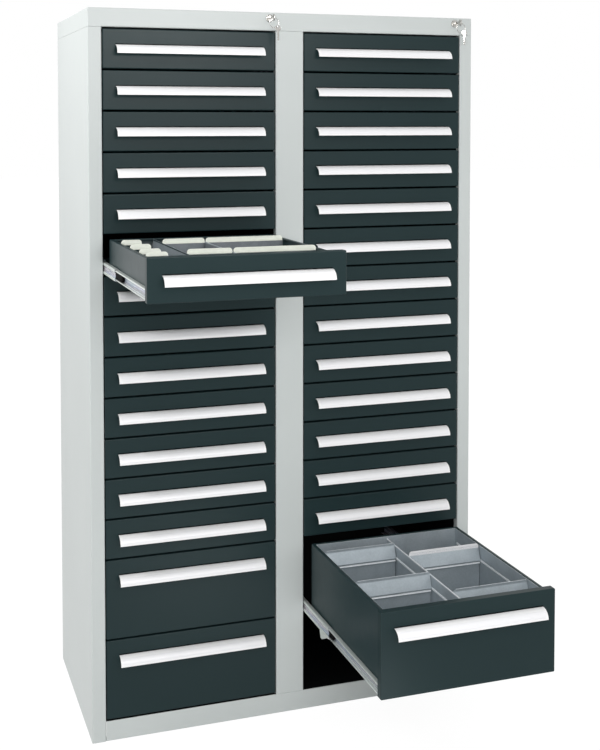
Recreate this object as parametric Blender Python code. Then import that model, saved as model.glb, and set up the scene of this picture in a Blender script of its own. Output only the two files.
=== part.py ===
"""Industrial drawer cabinet: two columns of telescopic drawers in a welded sheet-metal carcass.

Frame: origin at the middle of the base's underside, +X to the right seen from the front,
+Y to the back, +Z up. Lengths are metres, written as millimetres times MM.
The sixth drawer on the left and the tall fourteenth drawer on the right stand pulled out.
The bay under the tall one is empty.
"""
import math

import bmesh
import bpy
from mathutils import Vector

MM = 0.001

# Fits: the gap between pieces that touch, and the lap of shapes that are one weldment
FIT = 0.3 * MM
WELD = 0.6 * MM

# How far the middle of a quarter round lies in from its corner, as a share of its radius
ROUND_INSET_SHARE = 1 - math.sqrt(0.5)

# Carcass
CABINET_DEPTH = 510 * MM
UNIT_PITCH = 100 * MM
UNIT_COUNT = 17
FRONT_GAP = 4 * MM
FASCIA_HEIGHT = 46 * MM
BASE_HEIGHT = 50 * MM
OPENING_WIDTH = 440 * MM
SIDE_STILE = 34 * MM
CENTRE_STILE = 74 * MM
STILE_LIP = 20 * MM
COVER_SIDE_LIP = 12 * MM
BACK_FLANGE = 18 * MM
CARCASS_SHEET = 1.5 * MM
CARCASS_RADIUS = 3 * MM
FOLD_STEPS = 3
BACK_SHEET = 1.2 * MM
BASE_FLANGE = 22 * MM
BEARER_WIDTH = 60 * MM
BEARER_END_GAP = 30 * MM

OPENING_HEIGHT = UNIT_COUNT * UNIT_PITCH + FRONT_GAP
CABINET_HEIGHT = BASE_HEIGHT + OPENING_HEIGHT + FASCIA_HEIGHT
CABINET_WIDTH = 2 * SIDE_STILE + 2 * OPENING_WIDTH + CENTRE_STILE
FRONT = -CABINET_DEPTH / 2
BACK = CABINET_DEPTH / 2
OPENING_TOP = BASE_HEIGHT + OPENING_HEIGHT
COLUMN_X = (CENTRE_STILE + OPENING_WIDTH) / 2
BACK_PANEL_REAR = BACK - CARCASS_SHEET - FIT
BACK_PANEL_FACE = BACK_PANEL_REAR - BACK_SHEET

# Telescopic slides: each size runs across the slide, from the frame side to the drawer side
SLIDE_THICKNESS = 13 * MM
SLIDE_SHEET = 1.2 * MM
SLIDE_GAP = 0.5 * MM
SLIDE_RISE = 17 * MM
CABINET_MEMBER_HEIGHT = 35 * MM
CABINET_MEMBER_REACH = 9.5 * MM
MIDDLE_MEMBER_HEIGHT = 28 * MM
MIDDLE_MEMBER_REACH = 11 * MM
DRAWER_MEMBER_HEIGHT = 21 * MM
CABINET_MEMBER_SETBACK = 23 * MM
MIDDLE_MEMBER_SETBACK = 50 * MM
DRAWER_MEMBER_SETBACK = 21 * MM
MEMBER_REAR_GAP = 7 * MM
SLIDE_TRAVEL = CABINET_DEPTH
STOP_TAB_LENGTH = 75 * MM
STOP_TAB_DROP = 25 * MM
STOP_TAB_SETBACK = 6 * MM
STOP_TAB_SLOPE = 12 * MM
STOP_TAB_FOOT = 10 * MM

# Runner frames: two channel uprights a side that carry the cabinet members
UPRIGHT_DEPTH = 40 * MM
UPRIGHT_SHEET = 1.5 * MM
UPRIGHT_HEAD_GAP = 8 * MM
REAR_UPRIGHT_GAP = 25 * MM

# Drawers
FRONT_SIDE_GAP = 2 * MM
PAN_DEPTH = 19 * MM
PAN_SHEET = 1.2 * MM
PAN_RADIUS = 2.5 * MM
BOX_SHEET = 1.2 * MM
BOX_RIM = 9 * MM
BOX_FRONT_RIM = 3 * MM
BOX_LIFT = 5 * MM
BOX_DROP = 8 * MM
BOX_REAR_GAP = 25 * MM
FRONT_WIDTH = OPENING_WIDTH - 2 * FRONT_SIDE_GAP
BOX_WIDTH = OPENING_WIDTH - 2 * SLIDE_THICKNESS
BOX_END = CABINET_DEPTH - BOX_REAR_GAP
LEFT_UNIT_COUNTS = (1,) * 13 + (2, 2)
RIGHT_UNIT_COUNTS = (1,) * 13 + (2,)
SHALLOW_OPEN_INDEX = 5
TALL_OPEN_INDEX = 13
SHALLOW_PULL_SHORTFALL = 10 * MM
SHALLOW_PULL = SLIDE_TRAVEL - SHALLOW_PULL_SHORTFALL
TALL_PULL = SLIDE_TRAVEL

# Strip handles: a quarter ellipse that curves out and down from the front
HANDLE_LENGTH = 372 * MM
HANDLE_DROP = 38 * MM
HANDLE_HEIGHT = 21.6 * MM
HANDLE_REACH = 25 * MM
HANDLE_SHEET = 2 * MM
HANDLE_FLANGE = 12 * MM
HANDLE_STEPS = 6

# Dividers in the open drawers: places run from the box's left wall and from the front's face
DIVIDER_SHEET = 1 * MM
SHALLOW_SECTION = 103.5 * MM
NARROW_TAB_WIDTH = 48 * MM
NARROW_TAB_INSET = 9 * MM
TAB_RISE = 9 * MM
TAB_SHOULDER = 7 * MM
NARROW_PLATE_PLACES = (104 * MM, 174 * MM, 275 * MM, 380 * MM)
WIDE_PLATE_PLACES = (137 * MM, 378 * MM)
LEFT_LEANER_PLACES = (207 * MM, 420 * MM)
RIGHT_LEANER_PLACES = (88 * MM, 336 * MM)
LEANER_DROP = 8 * MM
LEANER_BEND = 44 * MM
LEANER_STEP = 7 * MM
LEANER_LEAN = 12 * MM
LEANER_CORNER = 14 * MM
LONG_DIVIDER_DROP = 6 * MM

# Locks: a plug in the fascia turns a crank pin that slides a bar behind the stile
LOCK_INSET = 16 * MM
LOCK_DROP = 15 * MM
PLUG_COLLAR_RADIUS = 9.5 * MM
PLUG_COLLAR_DEPTH = 3 * MM
PLUG_RADIUS = 8 * MM
CRANK_RADIUS = 12 * MM
CRANK_START = 18.5 * MM
CRANK_DEPTH = 3 * MM
CRANK_PIN_RADIUS = 2 * MM
CRANK_PIN_OFFSET = 9.5 * MM
CRANK_PIN_REST_DEG = 45.0
LOCK_BAR_THICKNESS = 3 * MM
LOCK_BAR_WIDTH = 14 * MM
LOCK_BAR_OFFSET = 10 * MM
LOCK_BAR_SETBACK = 23 * MM
LOCK_ARM_HEIGHT = 13 * MM
LOCK_SLOT_CLEARANCE = 0.5 * MM
LOCK_BAR_FOOT_GAP = 30 * MM
ROUND_STEPS = 16

# Keys: the blade stands in the plug with its bow in an upright plane
KEY_SHEET = 2.2 * MM
KEY_BLADE_HEIGHT = 7 * MM
KEY_BLADE_TIP = 12 * MM
KEY_BOW_RADIUS = 11 * MM
KEY_BOW_REACH = 34 * MM
KEY_HOLE_RADIUS = 3.5 * MM
KEY_HOLE_OFFSET = 5 * MM
KEYWAY_OVERRUN = 2 * MM

UPRIGHT_SETBACK = LOCK_BAR_SETBACK + LOCK_BAR_THICKNESS + FIT
LOCK_Z = CABINET_HEIGHT - LOCK_DROP

# Colours, roughness and metallic value of each finish
FINISHES = {
    "carcass_grey": ((0.60, 0.63, 0.62, 1.0), 0.5, 0.0),
    "front_anthracite": ((0.040, 0.055, 0.058, 1.0), 0.5, 0.0),
    "handle_white": ((0.85, 0.86, 0.87, 1.0), 0.35, 0.0),
    "galvanised": ((0.45, 0.49, 0.53, 1.0), 0.4, 0.9),
    "zinc": ((0.66, 0.68, 0.71, 1.0), 0.3, 1.0),
    "chrome": ((0.75, 0.75, 0.75, 1.0), 0.15, 1.0),
}


def clear_scene():
    for obj in list(bpy.data.objects):
        bpy.data.objects.remove(obj)


def finish(name):
    """The named finish as a material, made once."""
    material = bpy.data.materials.get(name)
    if material is None:
        colour, roughness, metallic = FINISHES[name]
        material = bpy.data.materials.new(name)
        material.use_nodes = True
        shader = material.node_tree.nodes["Principled BSDF"]
        shader.inputs["Base Color"].default_value = colour
        shader.inputs["Roughness"].default_value = roughness
        shader.inputs["Metallic"].default_value = metallic
    return material


def place(name, mesh, location=(0, 0, 0)):
    """Put a mesh in the scene as a named piece."""
    obj = bpy.data.objects.new(name, mesh)
    obj.location = location
    bpy.context.collection.objects.link(obj)
    return obj


def closed_mesh(name, bm, slot):
    bmesh.ops.recalc_face_normals(bm, faces=bm.faces)
    mesh = bpy.data.meshes.new(name)
    bm.to_mesh(mesh)
    bm.free()
    mesh.materials.append(finish(slot))
    return mesh


def ring_stack(name, rings, slot):
    """A closed body from rings of points, each joined to the next, with both ends capped."""
    bm = bmesh.new()
    loops = [[bm.verts.new(point) for point in ring] for ring in rings]
    count = len(loops[0])
    for lower, upper in zip(loops, loops[1:]):
        for i in range(count):
            j = (i + 1) % count
            bm.faces.new((lower[i], lower[j], upper[j], upper[i]))
    bm.faces.new(loops[0])
    bm.faces.new(loops[-1])
    return closed_mesh(name, bm, slot)


def prism(name, outline, axis, low, high, slot):
    """An outline pushed along an axis from low to high."""
    order = {"x": (2, 0, 1), "y": (0, 2, 1), "z": (0, 1, 2)}[axis]
    rings = []
    for level in (low, high):
        points = [(p[0], p[1], level) for p in outline]
        rings.append([tuple(point[k] for k in order) for point in points])
    return ring_stack(name, rings, slot)


def block(name, low, high, slot):
    outline = rectangle(low[0], high[0], low[1], high[1])
    return prism(name, outline, "z", low[2], high[2], slot)


def rectangle(u_low, u_high, v_low, v_high):
    return [(u_low, v_low), (u_high, v_low), (u_high, v_high), (u_low, v_high)]


def folded(path, thickness):
    """Outline of a sheet folded along an open path, with its thickness to the path's left."""
    points = [Vector(p) for p in path]
    normals = []
    for a, b in zip(points, points[1:]):
        run = (b - a).normalized()
        normals.append(Vector((-run.y, run.x)))
    shifted = [points[0] + normals[0] * thickness]
    for point, first, second in zip(points[1:], normals, normals[1:]):
        shifted.append(point + (first + second) * thickness / (1 + first.dot(second)))
    shifted.append(points[-1] + normals[-1] * thickness)
    return [tuple(p) for p in points] + [tuple(p) for p in reversed(shifted)]


def rounded(path, radius):
    """An open path with each of its inner corners turned into an arc of that radius."""
    points = [Vector(p) for p in path]
    result = [points[0]]
    for before, corner, after in zip(points, points[1:], points[2:]):
        start = (before - corner).normalized()
        end = (after - corner).normalized()
        half = start.angle(end) / 2
        centre = corner + (start + end).normalized() * radius / math.sin(half)
        first = corner + start * radius / math.tan(half) - centre
        turn = -first.angle_signed(corner + end * radius / math.tan(half) - centre)
        for i in range(FOLD_STEPS + 1):
            angle = turn * i / FOLD_STEPS
            result.append(centre + Vector((first.x * math.cos(angle) - first.y * math.sin(angle),
                                           first.x * math.sin(angle) + first.y * math.cos(angle))))
    return result + [points[-1]]


def mirrored(outline, side):
    """The outline as it is for side 1, and with its first coordinate reversed for side -1."""
    return [(side * p[0], p[1]) for p in outline]


def circle(centre, radius, steps=ROUND_STEPS):
    turns = [2 * math.pi * i / steps for i in range(steps)]
    return [(centre[0] + radius * math.cos(t), centre[1] + radius * math.sin(t)) for t in turns]


def combine(mesh, tools, operation):
    """Apply exact booleans to a mesh, one for each tool mesh, and return the result."""
    base = place(mesh.name + "_work", mesh)
    helpers = []
    for tool in tools:
        helper = place(tool.name + "_tool", tool)
        modifier = base.modifiers.new(tool.name, "BOOLEAN")
        modifier.operation = operation
        modifier.solver = "EXACT"
        modifier.material_mode = "TRANSFER"
        modifier.object = helper
        helpers.append(helper)
    graph = bpy.context.evaluated_depsgraph_get()
    result = bpy.data.meshes.new_from_object(base.evaluated_get(graph))
    result.name = mesh.name + "_body"
    for obj in [base] + helpers:
        bpy.data.objects.remove(obj)
    return result


def joined(name, meshes, slot):
    """Several separate bodies in one mesh, as one boolean tool."""
    bm = bmesh.new()
    for mesh in meshes:
        bm.from_mesh(mesh)
    return closed_mesh(name, bm, slot)


# Carcass


def side_panel(name, side):
    """Skin, front stile with its return lip, and the back flange, folded from one sheet."""
    wall = CABINET_WIDTH / 2
    path = [
        (wall - SIDE_STILE, FRONT + STILE_LIP),
        (wall - SIDE_STILE, FRONT),
        (wall, FRONT),
        (wall, BACK),
        (wall - BACK_FLANGE, BACK),
    ]
    outline = mirrored(folded(rounded(path, CARCASS_RADIUS), CARCASS_SHEET), side)
    mesh = prism(name, outline, "z", 0, OPENING_TOP - FIT, "carcass_grey")
    return place(name, mesh)


def centre_post():
    half = CENTRE_STILE / 2
    path = [(-half, FRONT + STILE_LIP), (-half, FRONT), (half, FRONT), (half, FRONT + STILE_LIP)]
    outline = folded(rounded(path, CARCASS_RADIUS), CARCASS_SHEET)
    mesh = prism("centre_post", outline, "z", BASE_HEIGHT + FIT, OPENING_TOP - FIT, "carcass_grey")
    return place("centre_post", mesh)


def base_pan():
    """Floor sheet turned down at the front and back, on a bearer, with wings to the skins."""
    half = CABINET_WIDTH / 2 - SIDE_STILE - FIT
    rear = BACK_PANEL_FACE - FIT
    path = [
        (FRONT + BASE_FLANGE, 0),
        (FRONT, 0),
        (FRONT, BASE_HEIGHT),
        (rear, BASE_HEIGHT),
        (rear, 0),
        (rear - BASE_FLANGE, 0),
    ]
    outline = folded(path[::-1], CARCASS_SHEET)
    pan = prism("base_pan", outline, "x", -half, half, "carcass_grey")
    under = BASE_HEIGHT - CARCASS_SHEET
    bearer_path = [
        (-BEARER_WIDTH / 2, under + WELD),
        (-BEARER_WIDTH / 2, 0),
        (BEARER_WIDTH / 2, 0),
        (BEARER_WIDTH / 2, under + WELD),
    ]
    bearer = prism("bearer", folded(bearer_path, CARCASS_SHEET), "y",
                   FRONT + BEARER_END_GAP, rear - BEARER_END_GAP, "carcass_grey")
    skin = CABINET_WIDTH / 2 - CARCASS_SHEET - FIT
    wings = []
    for side in (-1, 1):
        edges = sorted((side * (half - BASE_FLANGE), side * skin))
        wings.append(block("wing", (edges[0], FRONT + STILE_LIP + FIT, under),
                           (edges[1], rear, BASE_HEIGHT), "carcass_grey"))
    return place("base_pan", combine(pan, [bearer] + wings, "UNION"))


def back_panel():
    """A flat sheet in front of the skins' flanges, clear of their folds' inner radius."""
    half = CABINET_WIDTH / 2 - CARCASS_RADIUS - FIT
    mesh = block("back_panel", (-half, BACK_PANEL_FACE, FIT),
                 (half, BACK_PANEL_REAR, OPENING_TOP - FIT), "carcass_grey")
    return place("back_panel", mesh)


def cover_ring(side_inset, end_inset, z):
    """A rectangle with chamfered corners, inset from the cabinet's sides and ends."""
    x = CABINET_WIDTH / 2 - side_inset
    y = CABINET_DEPTH / 2 - end_inset
    c = CARCASS_RADIUS
    return [(x - c, -y, z), (x, c - y, z), (x, y - c, z), (x - c, y, z),
            (c - x, y, z), (-x, y - c, z), (-x, c - y, z), (c - x, -y, z)]


def top_cover():
    """A cap with a fascia at the front, a return lip all round and two lock holes."""
    inset = CARCASS_RADIUS * ROUND_INSET_SHARE
    rings = [
        cover_ring(CARCASS_RADIUS, CARCASS_RADIUS, CABINET_HEIGHT),
        cover_ring(inset, inset, CABINET_HEIGHT - inset),
        cover_ring(0, 0, CABINET_HEIGHT - CARCASS_RADIUS),
        cover_ring(0, 0, OPENING_TOP),
        cover_ring(COVER_SIDE_LIP, STILE_LIP, OPENING_TOP),
        cover_ring(COVER_SIDE_LIP, STILE_LIP, OPENING_TOP + CARCASS_SHEET),
        cover_ring(CARCASS_SHEET, CARCASS_SHEET, OPENING_TOP + CARCASS_SHEET),
        cover_ring(CARCASS_SHEET, CARCASS_SHEET, CABINET_HEIGHT - CARCASS_SHEET),
    ]
    cover = ring_stack("top_cover", rings, "carcass_grey")
    holes = []
    for column in (-1, 1):
        outline = circle((lock_x(column), LOCK_Z), PLUG_RADIUS + FIT)
        holes.append(prism("lock_hole", outline, "y", FRONT - WELD,
                           FRONT + CARCASS_SHEET + WELD, "carcass_grey"))
    return place("top_cover", combine(cover, holes, "DIFFERENCE"))


# Slides and runner frames


def drawer_levels(units):
    """Bottom edge and height of each front, from the top down."""
    levels = []
    top = OPENING_TOP - FRONT_GAP
    for count in units:
        height = count * UNIT_PITCH - FRONT_GAP
        levels.append((top - height, height))
        top -= count * UNIT_PITCH
    return levels


def channel(name, side, web, reach, height, y_low, y_high, z, slot="zinc"):
    """A slide member: a web across the slide at one side and two flanges, along Y.

    web and reach run across the slide from its frame side, for side 1 towards +X.
    """
    half = height / 2
    path = [(reach, z - half), (web, z - half), (web, z + half), (reach, z + half)]
    if reach > web:
        path.reverse()
    outline = mirrored(folded(path, SLIDE_SHEET), side)
    return prism(name, outline, "y", y_low, y_high, slot)


def moved(mesh, offset):
    """Shift a mesh that was made about another origin."""
    for vertex in mesh.vertices:
        vertex.co += Vector(offset)
    return mesh


def runner_frame(name, plane_x, side, depth, units):
    """Two uprights and a cabinet member for each drawer of a column.

    plane_x is the face that carries the members, and side the way that it looks.
    """
    foot = BASE_HEIGHT + FIT
    head = OPENING_TOP - UPRIGHT_HEAD_GAP
    uprights = []
    for y in (FRONT + UPRIGHT_SETBACK, BACK_PANEL_FACE - REAR_UPRIGHT_GAP - UPRIGHT_DEPTH):
        path = [(-depth, y), (0, y), (0, y + UPRIGHT_DEPTH), (-depth, y + UPRIGHT_DEPTH)]
        outline = mirrored(folded(path, UPRIGHT_SHEET), side)
        uprights.append(prism("upright", outline, "z", foot, head, "galvanised"))
    members = []
    for bottom, height in drawer_levels(units):
        members.append(channel("member", side, -WELD, CABINET_MEMBER_REACH, CABINET_MEMBER_HEIGHT,
                               FRONT + CABINET_MEMBER_SETBACK, BACK_PANEL_FACE - MEMBER_REAR_GAP,
                               bottom + SLIDE_RISE))
    frame = joined(name, uprights, "galvanised")
    rails = joined("members", members, "zinc")
    return place(name, moved(combine(frame, [rails], "UNION"), (plane_x, 0, 0)))


def runner_frames():
    outer = SIDE_STILE - CARCASS_SHEET - FIT
    inner = CENTRE_STILE / 2 - FIT
    for column, word, units in ((-1, "left", LEFT_UNIT_COUNTS), (1, "right", RIGHT_UNIT_COUNTS)):
        for side, low_word in ((1, "left"), (-1, "right")):
            depth = outer if side == -column else inner
            plane = column * COLUMN_X - side * OPENING_WIDTH / 2
            runner_frame(f"runner_frame_{word}_column_{low_word}", plane, side, depth, units)


def middle_member(name, column, side, bottom, pull, tab):
    """The member between the cabinet's and the drawer's, which moves half as far as the drawer."""
    web = SLIDE_SHEET - WELD + SLIDE_GAP
    start = MIDDLE_MEMBER_SETBACK
    end = BACK_PANEL_FACE - MEMBER_REAR_GAP - FRONT
    mesh = channel(name, side, web, MIDDLE_MEMBER_REACH, MIDDLE_MEMBER_HEIGHT, start, end, 0)
    if tab:
        under = -MIDDLE_MEMBER_HEIGHT / 2
        near = start + STOP_TAB_SETBACK
        far = near + STOP_TAB_LENGTH
        foot = far - STOP_TAB_SLOPE
        outline = [
            (near, under + SLIDE_SHEET / 2),
            (far, under + SLIDE_SHEET / 2),
            (foot, under - STOP_TAB_DROP),
            (foot - STOP_TAB_FOOT, under - STOP_TAB_DROP),
        ]
        edges = sorted((side * (MIDDLE_MEMBER_REACH - WELD), side * (MIDDLE_MEMBER_REACH + WELD)))
        fin = prism("tab", outline, "x", edges[0], edges[1], "zinc")
        mesh = combine(mesh, [fin], "UNION")
    plane = column * COLUMN_X - side * OPENING_WIDTH / 2
    return place(name, mesh, (plane, FRONT - pull / 2, bottom + SLIDE_RISE))


# Drawers: made about the middle of the front's bottom edge, with the face at y = 0


def pan_ring(inset, y, width, height):
    x = width / 2 - inset
    return [(-x, y, inset), (x, y, inset), (x, y, height - inset), (-x, y, height - inset)]


def front_pan(name, height):
    """The front: a rounded pan open to the back, and a plate behind it between its flanges."""
    inset = PAN_RADIUS * ROUND_INSET_SHARE
    rings = [
        pan_ring(PAN_RADIUS, 0, FRONT_WIDTH, height),
        pan_ring(inset, inset, FRONT_WIDTH, height),
        pan_ring(0, PAN_RADIUS, FRONT_WIDTH, height),
        pan_ring(0, PAN_DEPTH, FRONT_WIDTH, height),
        pan_ring(PAN_SHEET, PAN_DEPTH, FRONT_WIDTH, height),
        pan_ring(PAN_SHEET, PAN_SHEET, FRONT_WIDTH, height),
    ]
    pan = ring_stack(name, rings, "front_anthracite")
    plate = block("plate", (-BOX_WIDTH / 2, PAN_DEPTH - PAN_SHEET - WELD, WELD),
                  (BOX_WIDTH / 2, PAN_DEPTH - WELD, height - WELD), "front_anthracite")
    return combine(pan, [plate], "UNION")


def box_ring(x_inset, front_y, rear_y, z):
    x = BOX_WIDTH / 2 - x_inset
    return [(-x, front_y, z), (x, front_y, z), (x, rear_y, z), (-x, rear_y, z)]


def drawer_box(name, height, start):
    """The tray, with a rim turned inwards along its walls. start is where its front wall begins."""
    low = BOX_LIFT
    top = height - BOX_DROP
    rings = [
        box_ring(0, start, BOX_END, low),
        box_ring(0, start, BOX_END, top),
        box_ring(BOX_RIM, start + BOX_FRONT_RIM, BOX_END - BOX_RIM, top),
        box_ring(BOX_RIM, start + BOX_FRONT_RIM, BOX_END - BOX_RIM, top - BOX_SHEET),
        box_ring(BOX_SHEET, start + BOX_SHEET, BOX_END - BOX_SHEET, top - BOX_SHEET),
        box_ring(BOX_SHEET, start + BOX_SHEET, BOX_END - BOX_SHEET, low + BOX_SHEET),
    ]
    return ring_stack(name, rings, "front_anthracite")


def drawer_members(height, reach):
    """The two slide members riveted to the box: webs on its sides, flanges out to reach."""
    members = []
    for side in (-1, 1):
        mesh = channel("drawer_member", side, SLIDE_THICKNESS + WELD, reach, height,
                       DRAWER_MEMBER_SETBACK, BOX_END, SLIDE_RISE)
        members.append(moved(mesh, (-side * OPENING_WIDTH / 2, 0, 0)))
    return members


def handle(name, height, seat):
    """The strip handle. seat is how far its flange stands off the front's face."""
    top = height - HANDLE_DROP
    lip = top - HANDLE_HEIGHT
    outer = []
    inner = []
    for i in range(HANDLE_STEPS + 1):
        t = math.pi / 2 * i / HANDLE_STEPS
        outer.append((-seat - HANDLE_REACH * math.sin(t), lip + HANDLE_HEIGHT * math.cos(t)))
        start = math.asin(HANDLE_SHEET / (HANDLE_REACH - HANDLE_SHEET))
        t = start + (math.pi / 2 - start) * i / HANDLE_STEPS
        inner.append((-seat - (HANDLE_REACH - HANDLE_SHEET) * math.sin(t),
                      lip + (HANDLE_HEIGHT - HANDLE_SHEET) * math.cos(t)))
    flange = [(-seat - HANDLE_SHEET, top - HANDLE_FLANGE), (-seat, top - HANDLE_FLANGE)]
    outline = outer + inner[::-1] + flange
    return prism(name, outline, "x", -HANDLE_LENGTH / 2, HANDLE_LENGTH / 2, "handle_white")


def closed_drawer_mesh(name, height):
    """Front, box, handle and slide members of a drawer that stands shut, as one weldment.

    Its slide members are as tall as the middle members that they stand for, and reach the
    cabinet's members.
    """
    pan = front_pan(name, height)
    box = drawer_box("box", height, PAN_DEPTH - 2 * WELD)
    members = drawer_members(MIDDLE_MEMBER_HEIGHT, SLIDE_SHEET - WELD + SLIDE_GAP)
    strip = handle("handle", height, -WELD)
    return combine(pan, [box, strip] + members, "UNION")


def closed_drawers():
    meshes = {}
    for column, word, units, open_index in (
            (-1, "left", LEFT_UNIT_COUNTS, SHALLOW_OPEN_INDEX),
            (1, "right", RIGHT_UNIT_COUNTS, TALL_OPEN_INDEX)):
        for index, (bottom, height) in enumerate(drawer_levels(units)):
            if index == open_index:
                continue
            count = units[index]
            if count not in meshes:
                meshes[count] = closed_drawer_mesh(f"drawer_{count}_unit", height)
            place(f"drawer_{word}_{index + 1:02d}", meshes[count],
                  (column * COLUMN_X, FRONT, bottom))


def open_drawer(stem, column, bottom, height, pull, tab):
    """A pulled-out drawer in separate pieces: box, front, handle and the two middle members."""
    origin = (column * COLUMN_X, FRONT - pull, bottom)
    box = drawer_box(stem + "_box", height, PAN_DEPTH + FIT)
    reach = 2 * SLIDE_SHEET - WELD + 2 * SLIDE_GAP
    place(stem + "_box",
          combine(box, drawer_members(DRAWER_MEMBER_HEIGHT, reach), "UNION"), origin)
    place(stem + "_front", front_pan(stem + "_front", height), origin)
    place(stem + "_handle", handle(stem + "_handle", height, FIT), origin)
    for side, word in ((1, "left"), (-1, "right")):
        middle_member(f"{stem}_slide_{word}", column, side, bottom, pull, tab and side == 1)
    return origin


# Dividers of the open drawers, in the drawer's own frame


def box_floor():
    return BOX_LIFT + BOX_SHEET + FIT


def tab_outline(low, high, x_low, x_high, tabs):
    """An upright plate's outline with label tabs, each with its corners cut off, on its top edge."""
    outline = [(x_low, low), (x_high, low), (x_high, high)]
    for tab_low, tab_high in sorted(tabs, reverse=True):
        outline += [(tab_high, high), (tab_high, high + TAB_RISE - TAB_SHOULDER),
                    (tab_high - TAB_SHOULDER, high + TAB_RISE),
                    (tab_low + TAB_SHOULDER, high + TAB_RISE),
                    (tab_low, high + TAB_RISE - TAB_SHOULDER), (tab_low, high)]
    return outline + [(x_low, high)]


def shallow_dividers(stem, height, origin):
    """Two slotted long dividers: one with narrow plates at its left, one crossed by wide plates."""
    left_wall = -BOX_WIDTH / 2 + BOX_SHEET + FIT
    right_wall = BOX_WIDTH / 2 - BOX_SHEET - FIT
    start = PAN_DEPTH + 2 * FIT + BOX_SHEET
    end = BOX_END - BOX_SHEET - FIT
    low = box_floor()
    high = height - BOX_DROP - BOX_SHEET - FIT
    first = left_wall + SHALLOW_SECTION
    second = first + DIVIDER_SHEET + SHALLOW_SECTION
    long_one = block(stem + "_narrow_divider", (first, start, low),
                     (first + DIVIDER_SHEET, end, high), "galvanised")
    narrow = []
    for y in NARROW_PLATE_PLACES:
        tab = (left_wall + NARROW_TAB_INSET, left_wall + NARROW_TAB_INSET + NARROW_TAB_WIDTH)
        outline = tab_outline(low, high, left_wall, first + DIVIDER_SHEET / 2, [tab])
        narrow.append(prism("plate", outline, "y", y, y + DIVIDER_SHEET, "galvanised"))
    place(stem + "_narrow_divider", combine(long_one, narrow, "UNION"), origin)
    long_two = block(stem + "_wide_divider", (second, start, low),
                     (second + DIVIDER_SHEET, end, high), "galvanised")
    wide = []
    near = first + DIVIDER_SHEET + FIT
    inner = BOX_RIM + DIVIDER_SHEET
    tabs = [(near, second - DIVIDER_SHEET), (second + 2 * DIVIDER_SHEET, right_wall - inner)]
    for y in WIDE_PLATE_PLACES:
        outline = tab_outline(low, high, near, right_wall, tabs)
        wide.append(prism("plate", outline, "y", y, y + DIVIDER_SHEET, "galvanised"))
    place(stem + "_wide_divider", combine(long_two, wide, "UNION"), origin)


def leaning_plate(name, x_low, x_high, y, height, origin):
    """A cross divider: upright below, stepped at the slots, then leaning to the back."""
    low = box_floor()
    high = height - BOX_DROP - LEANER_DROP
    bend = high - LEANER_BEND
    path = [(y, low), (y, bend), (y - LEANER_STEP, bend), (y - LEANER_STEP + LEANER_LEAN, high)]
    plate = prism(name, folded(path, DIVIDER_SHEET), "x", x_low, x_high, "galvanised")
    corner = LEANER_CORNER
    near = y - LEANER_STEP - CABINET_DEPTH
    far = y + LEANER_LEAN + CABINET_DEPTH
    cutters = []
    for x, side in ((x_low, 1), (x_high, -1)):
        outline = [(x - side * corner, high - corner), (x + side * corner, high + corner),
                   (x - side * corner, high + corner)]
        cutters.append(prism("corner", outline, "y", near, far, "galvanised"))
    place(name, combine(plate, cutters, "DIFFERENCE"), origin)


def tall_dividers(stem, height, origin):
    half = BOX_WIDTH / 2 - BOX_SHEET - FIT
    start = PAN_DEPTH + 2 * FIT + BOX_SHEET
    end = BOX_END - BOX_SHEET - FIT
    middle = DIVIDER_SHEET / 2
    place(stem + "_long_divider",
          block(stem + "_long_divider", (-middle, start, box_floor()),
                (middle, end, height - BOX_DROP - LONG_DIVIDER_DROP), "galvanised"), origin)
    for x_low, x_high, word, places in ((-half, -middle - FIT, "left", LEFT_LEANER_PLACES),
                                        (middle + FIT, half, "right", RIGHT_LEANER_PLACES)):
        for place_word, y in zip(("front", "back"), places):
            leaning_plate(f"{stem}_cross_divider_{word}_{place_word}",
                          x_low, x_high, y, height, origin)


# Locks


def lock_x(column):
    """A lock's centre: near the right end of its column."""
    return column * COLUMN_X + OPENING_WIDTH / 2 - LOCK_INSET


def crank_pin_place():
    angle = math.radians(CRANK_PIN_REST_DEG)
    return CRANK_PIN_OFFSET * math.cos(angle), CRANK_PIN_OFFSET * math.sin(angle)


def lock_plug(name, column):
    """Cylinder with a collar in front of the fascia, and a crank disc with its pin behind."""
    steps = (
        (-PLUG_COLLAR_DEPTH - FIT, PLUG_COLLAR_RADIUS), (-FIT, PLUG_COLLAR_RADIUS),
        (-FIT, PLUG_RADIUS), (CRANK_START, PLUG_RADIUS), (CRANK_START, CRANK_RADIUS),
        (CRANK_START + CRANK_DEPTH, CRANK_RADIUS),
    )
    rings = [[(x, y, z) for x, z in circle((0, 0), radius)] for y, radius in steps]
    plug = ring_stack(name, rings, "chrome")
    pin_end = LOCK_BAR_SETBACK + LOCK_BAR_THICKNESS
    pin = prism("pin", circle(crank_pin_place(), CRANK_PIN_RADIUS, ROUND_STEPS // 2), "y",
                CRANK_START + CRANK_DEPTH - WELD, pin_end + LOCK_SLOT_CLEARANCE, "chrome")
    plug = combine(plug, [pin], "UNION")
    half_x = KEY_SHEET / 2 + FIT
    half_z = KEY_BLADE_HEIGHT / 2 + FIT
    keyway = block("keyway", (-half_x, -PLUG_COLLAR_DEPTH - KEYWAY_OVERRUN, -half_z),
                   (half_x, KEY_BLADE_TIP + FIT, half_z), "chrome")
    place(name, combine(plug, [keyway], "DIFFERENCE"), (lock_x(column), FRONT, LOCK_Z))


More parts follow.
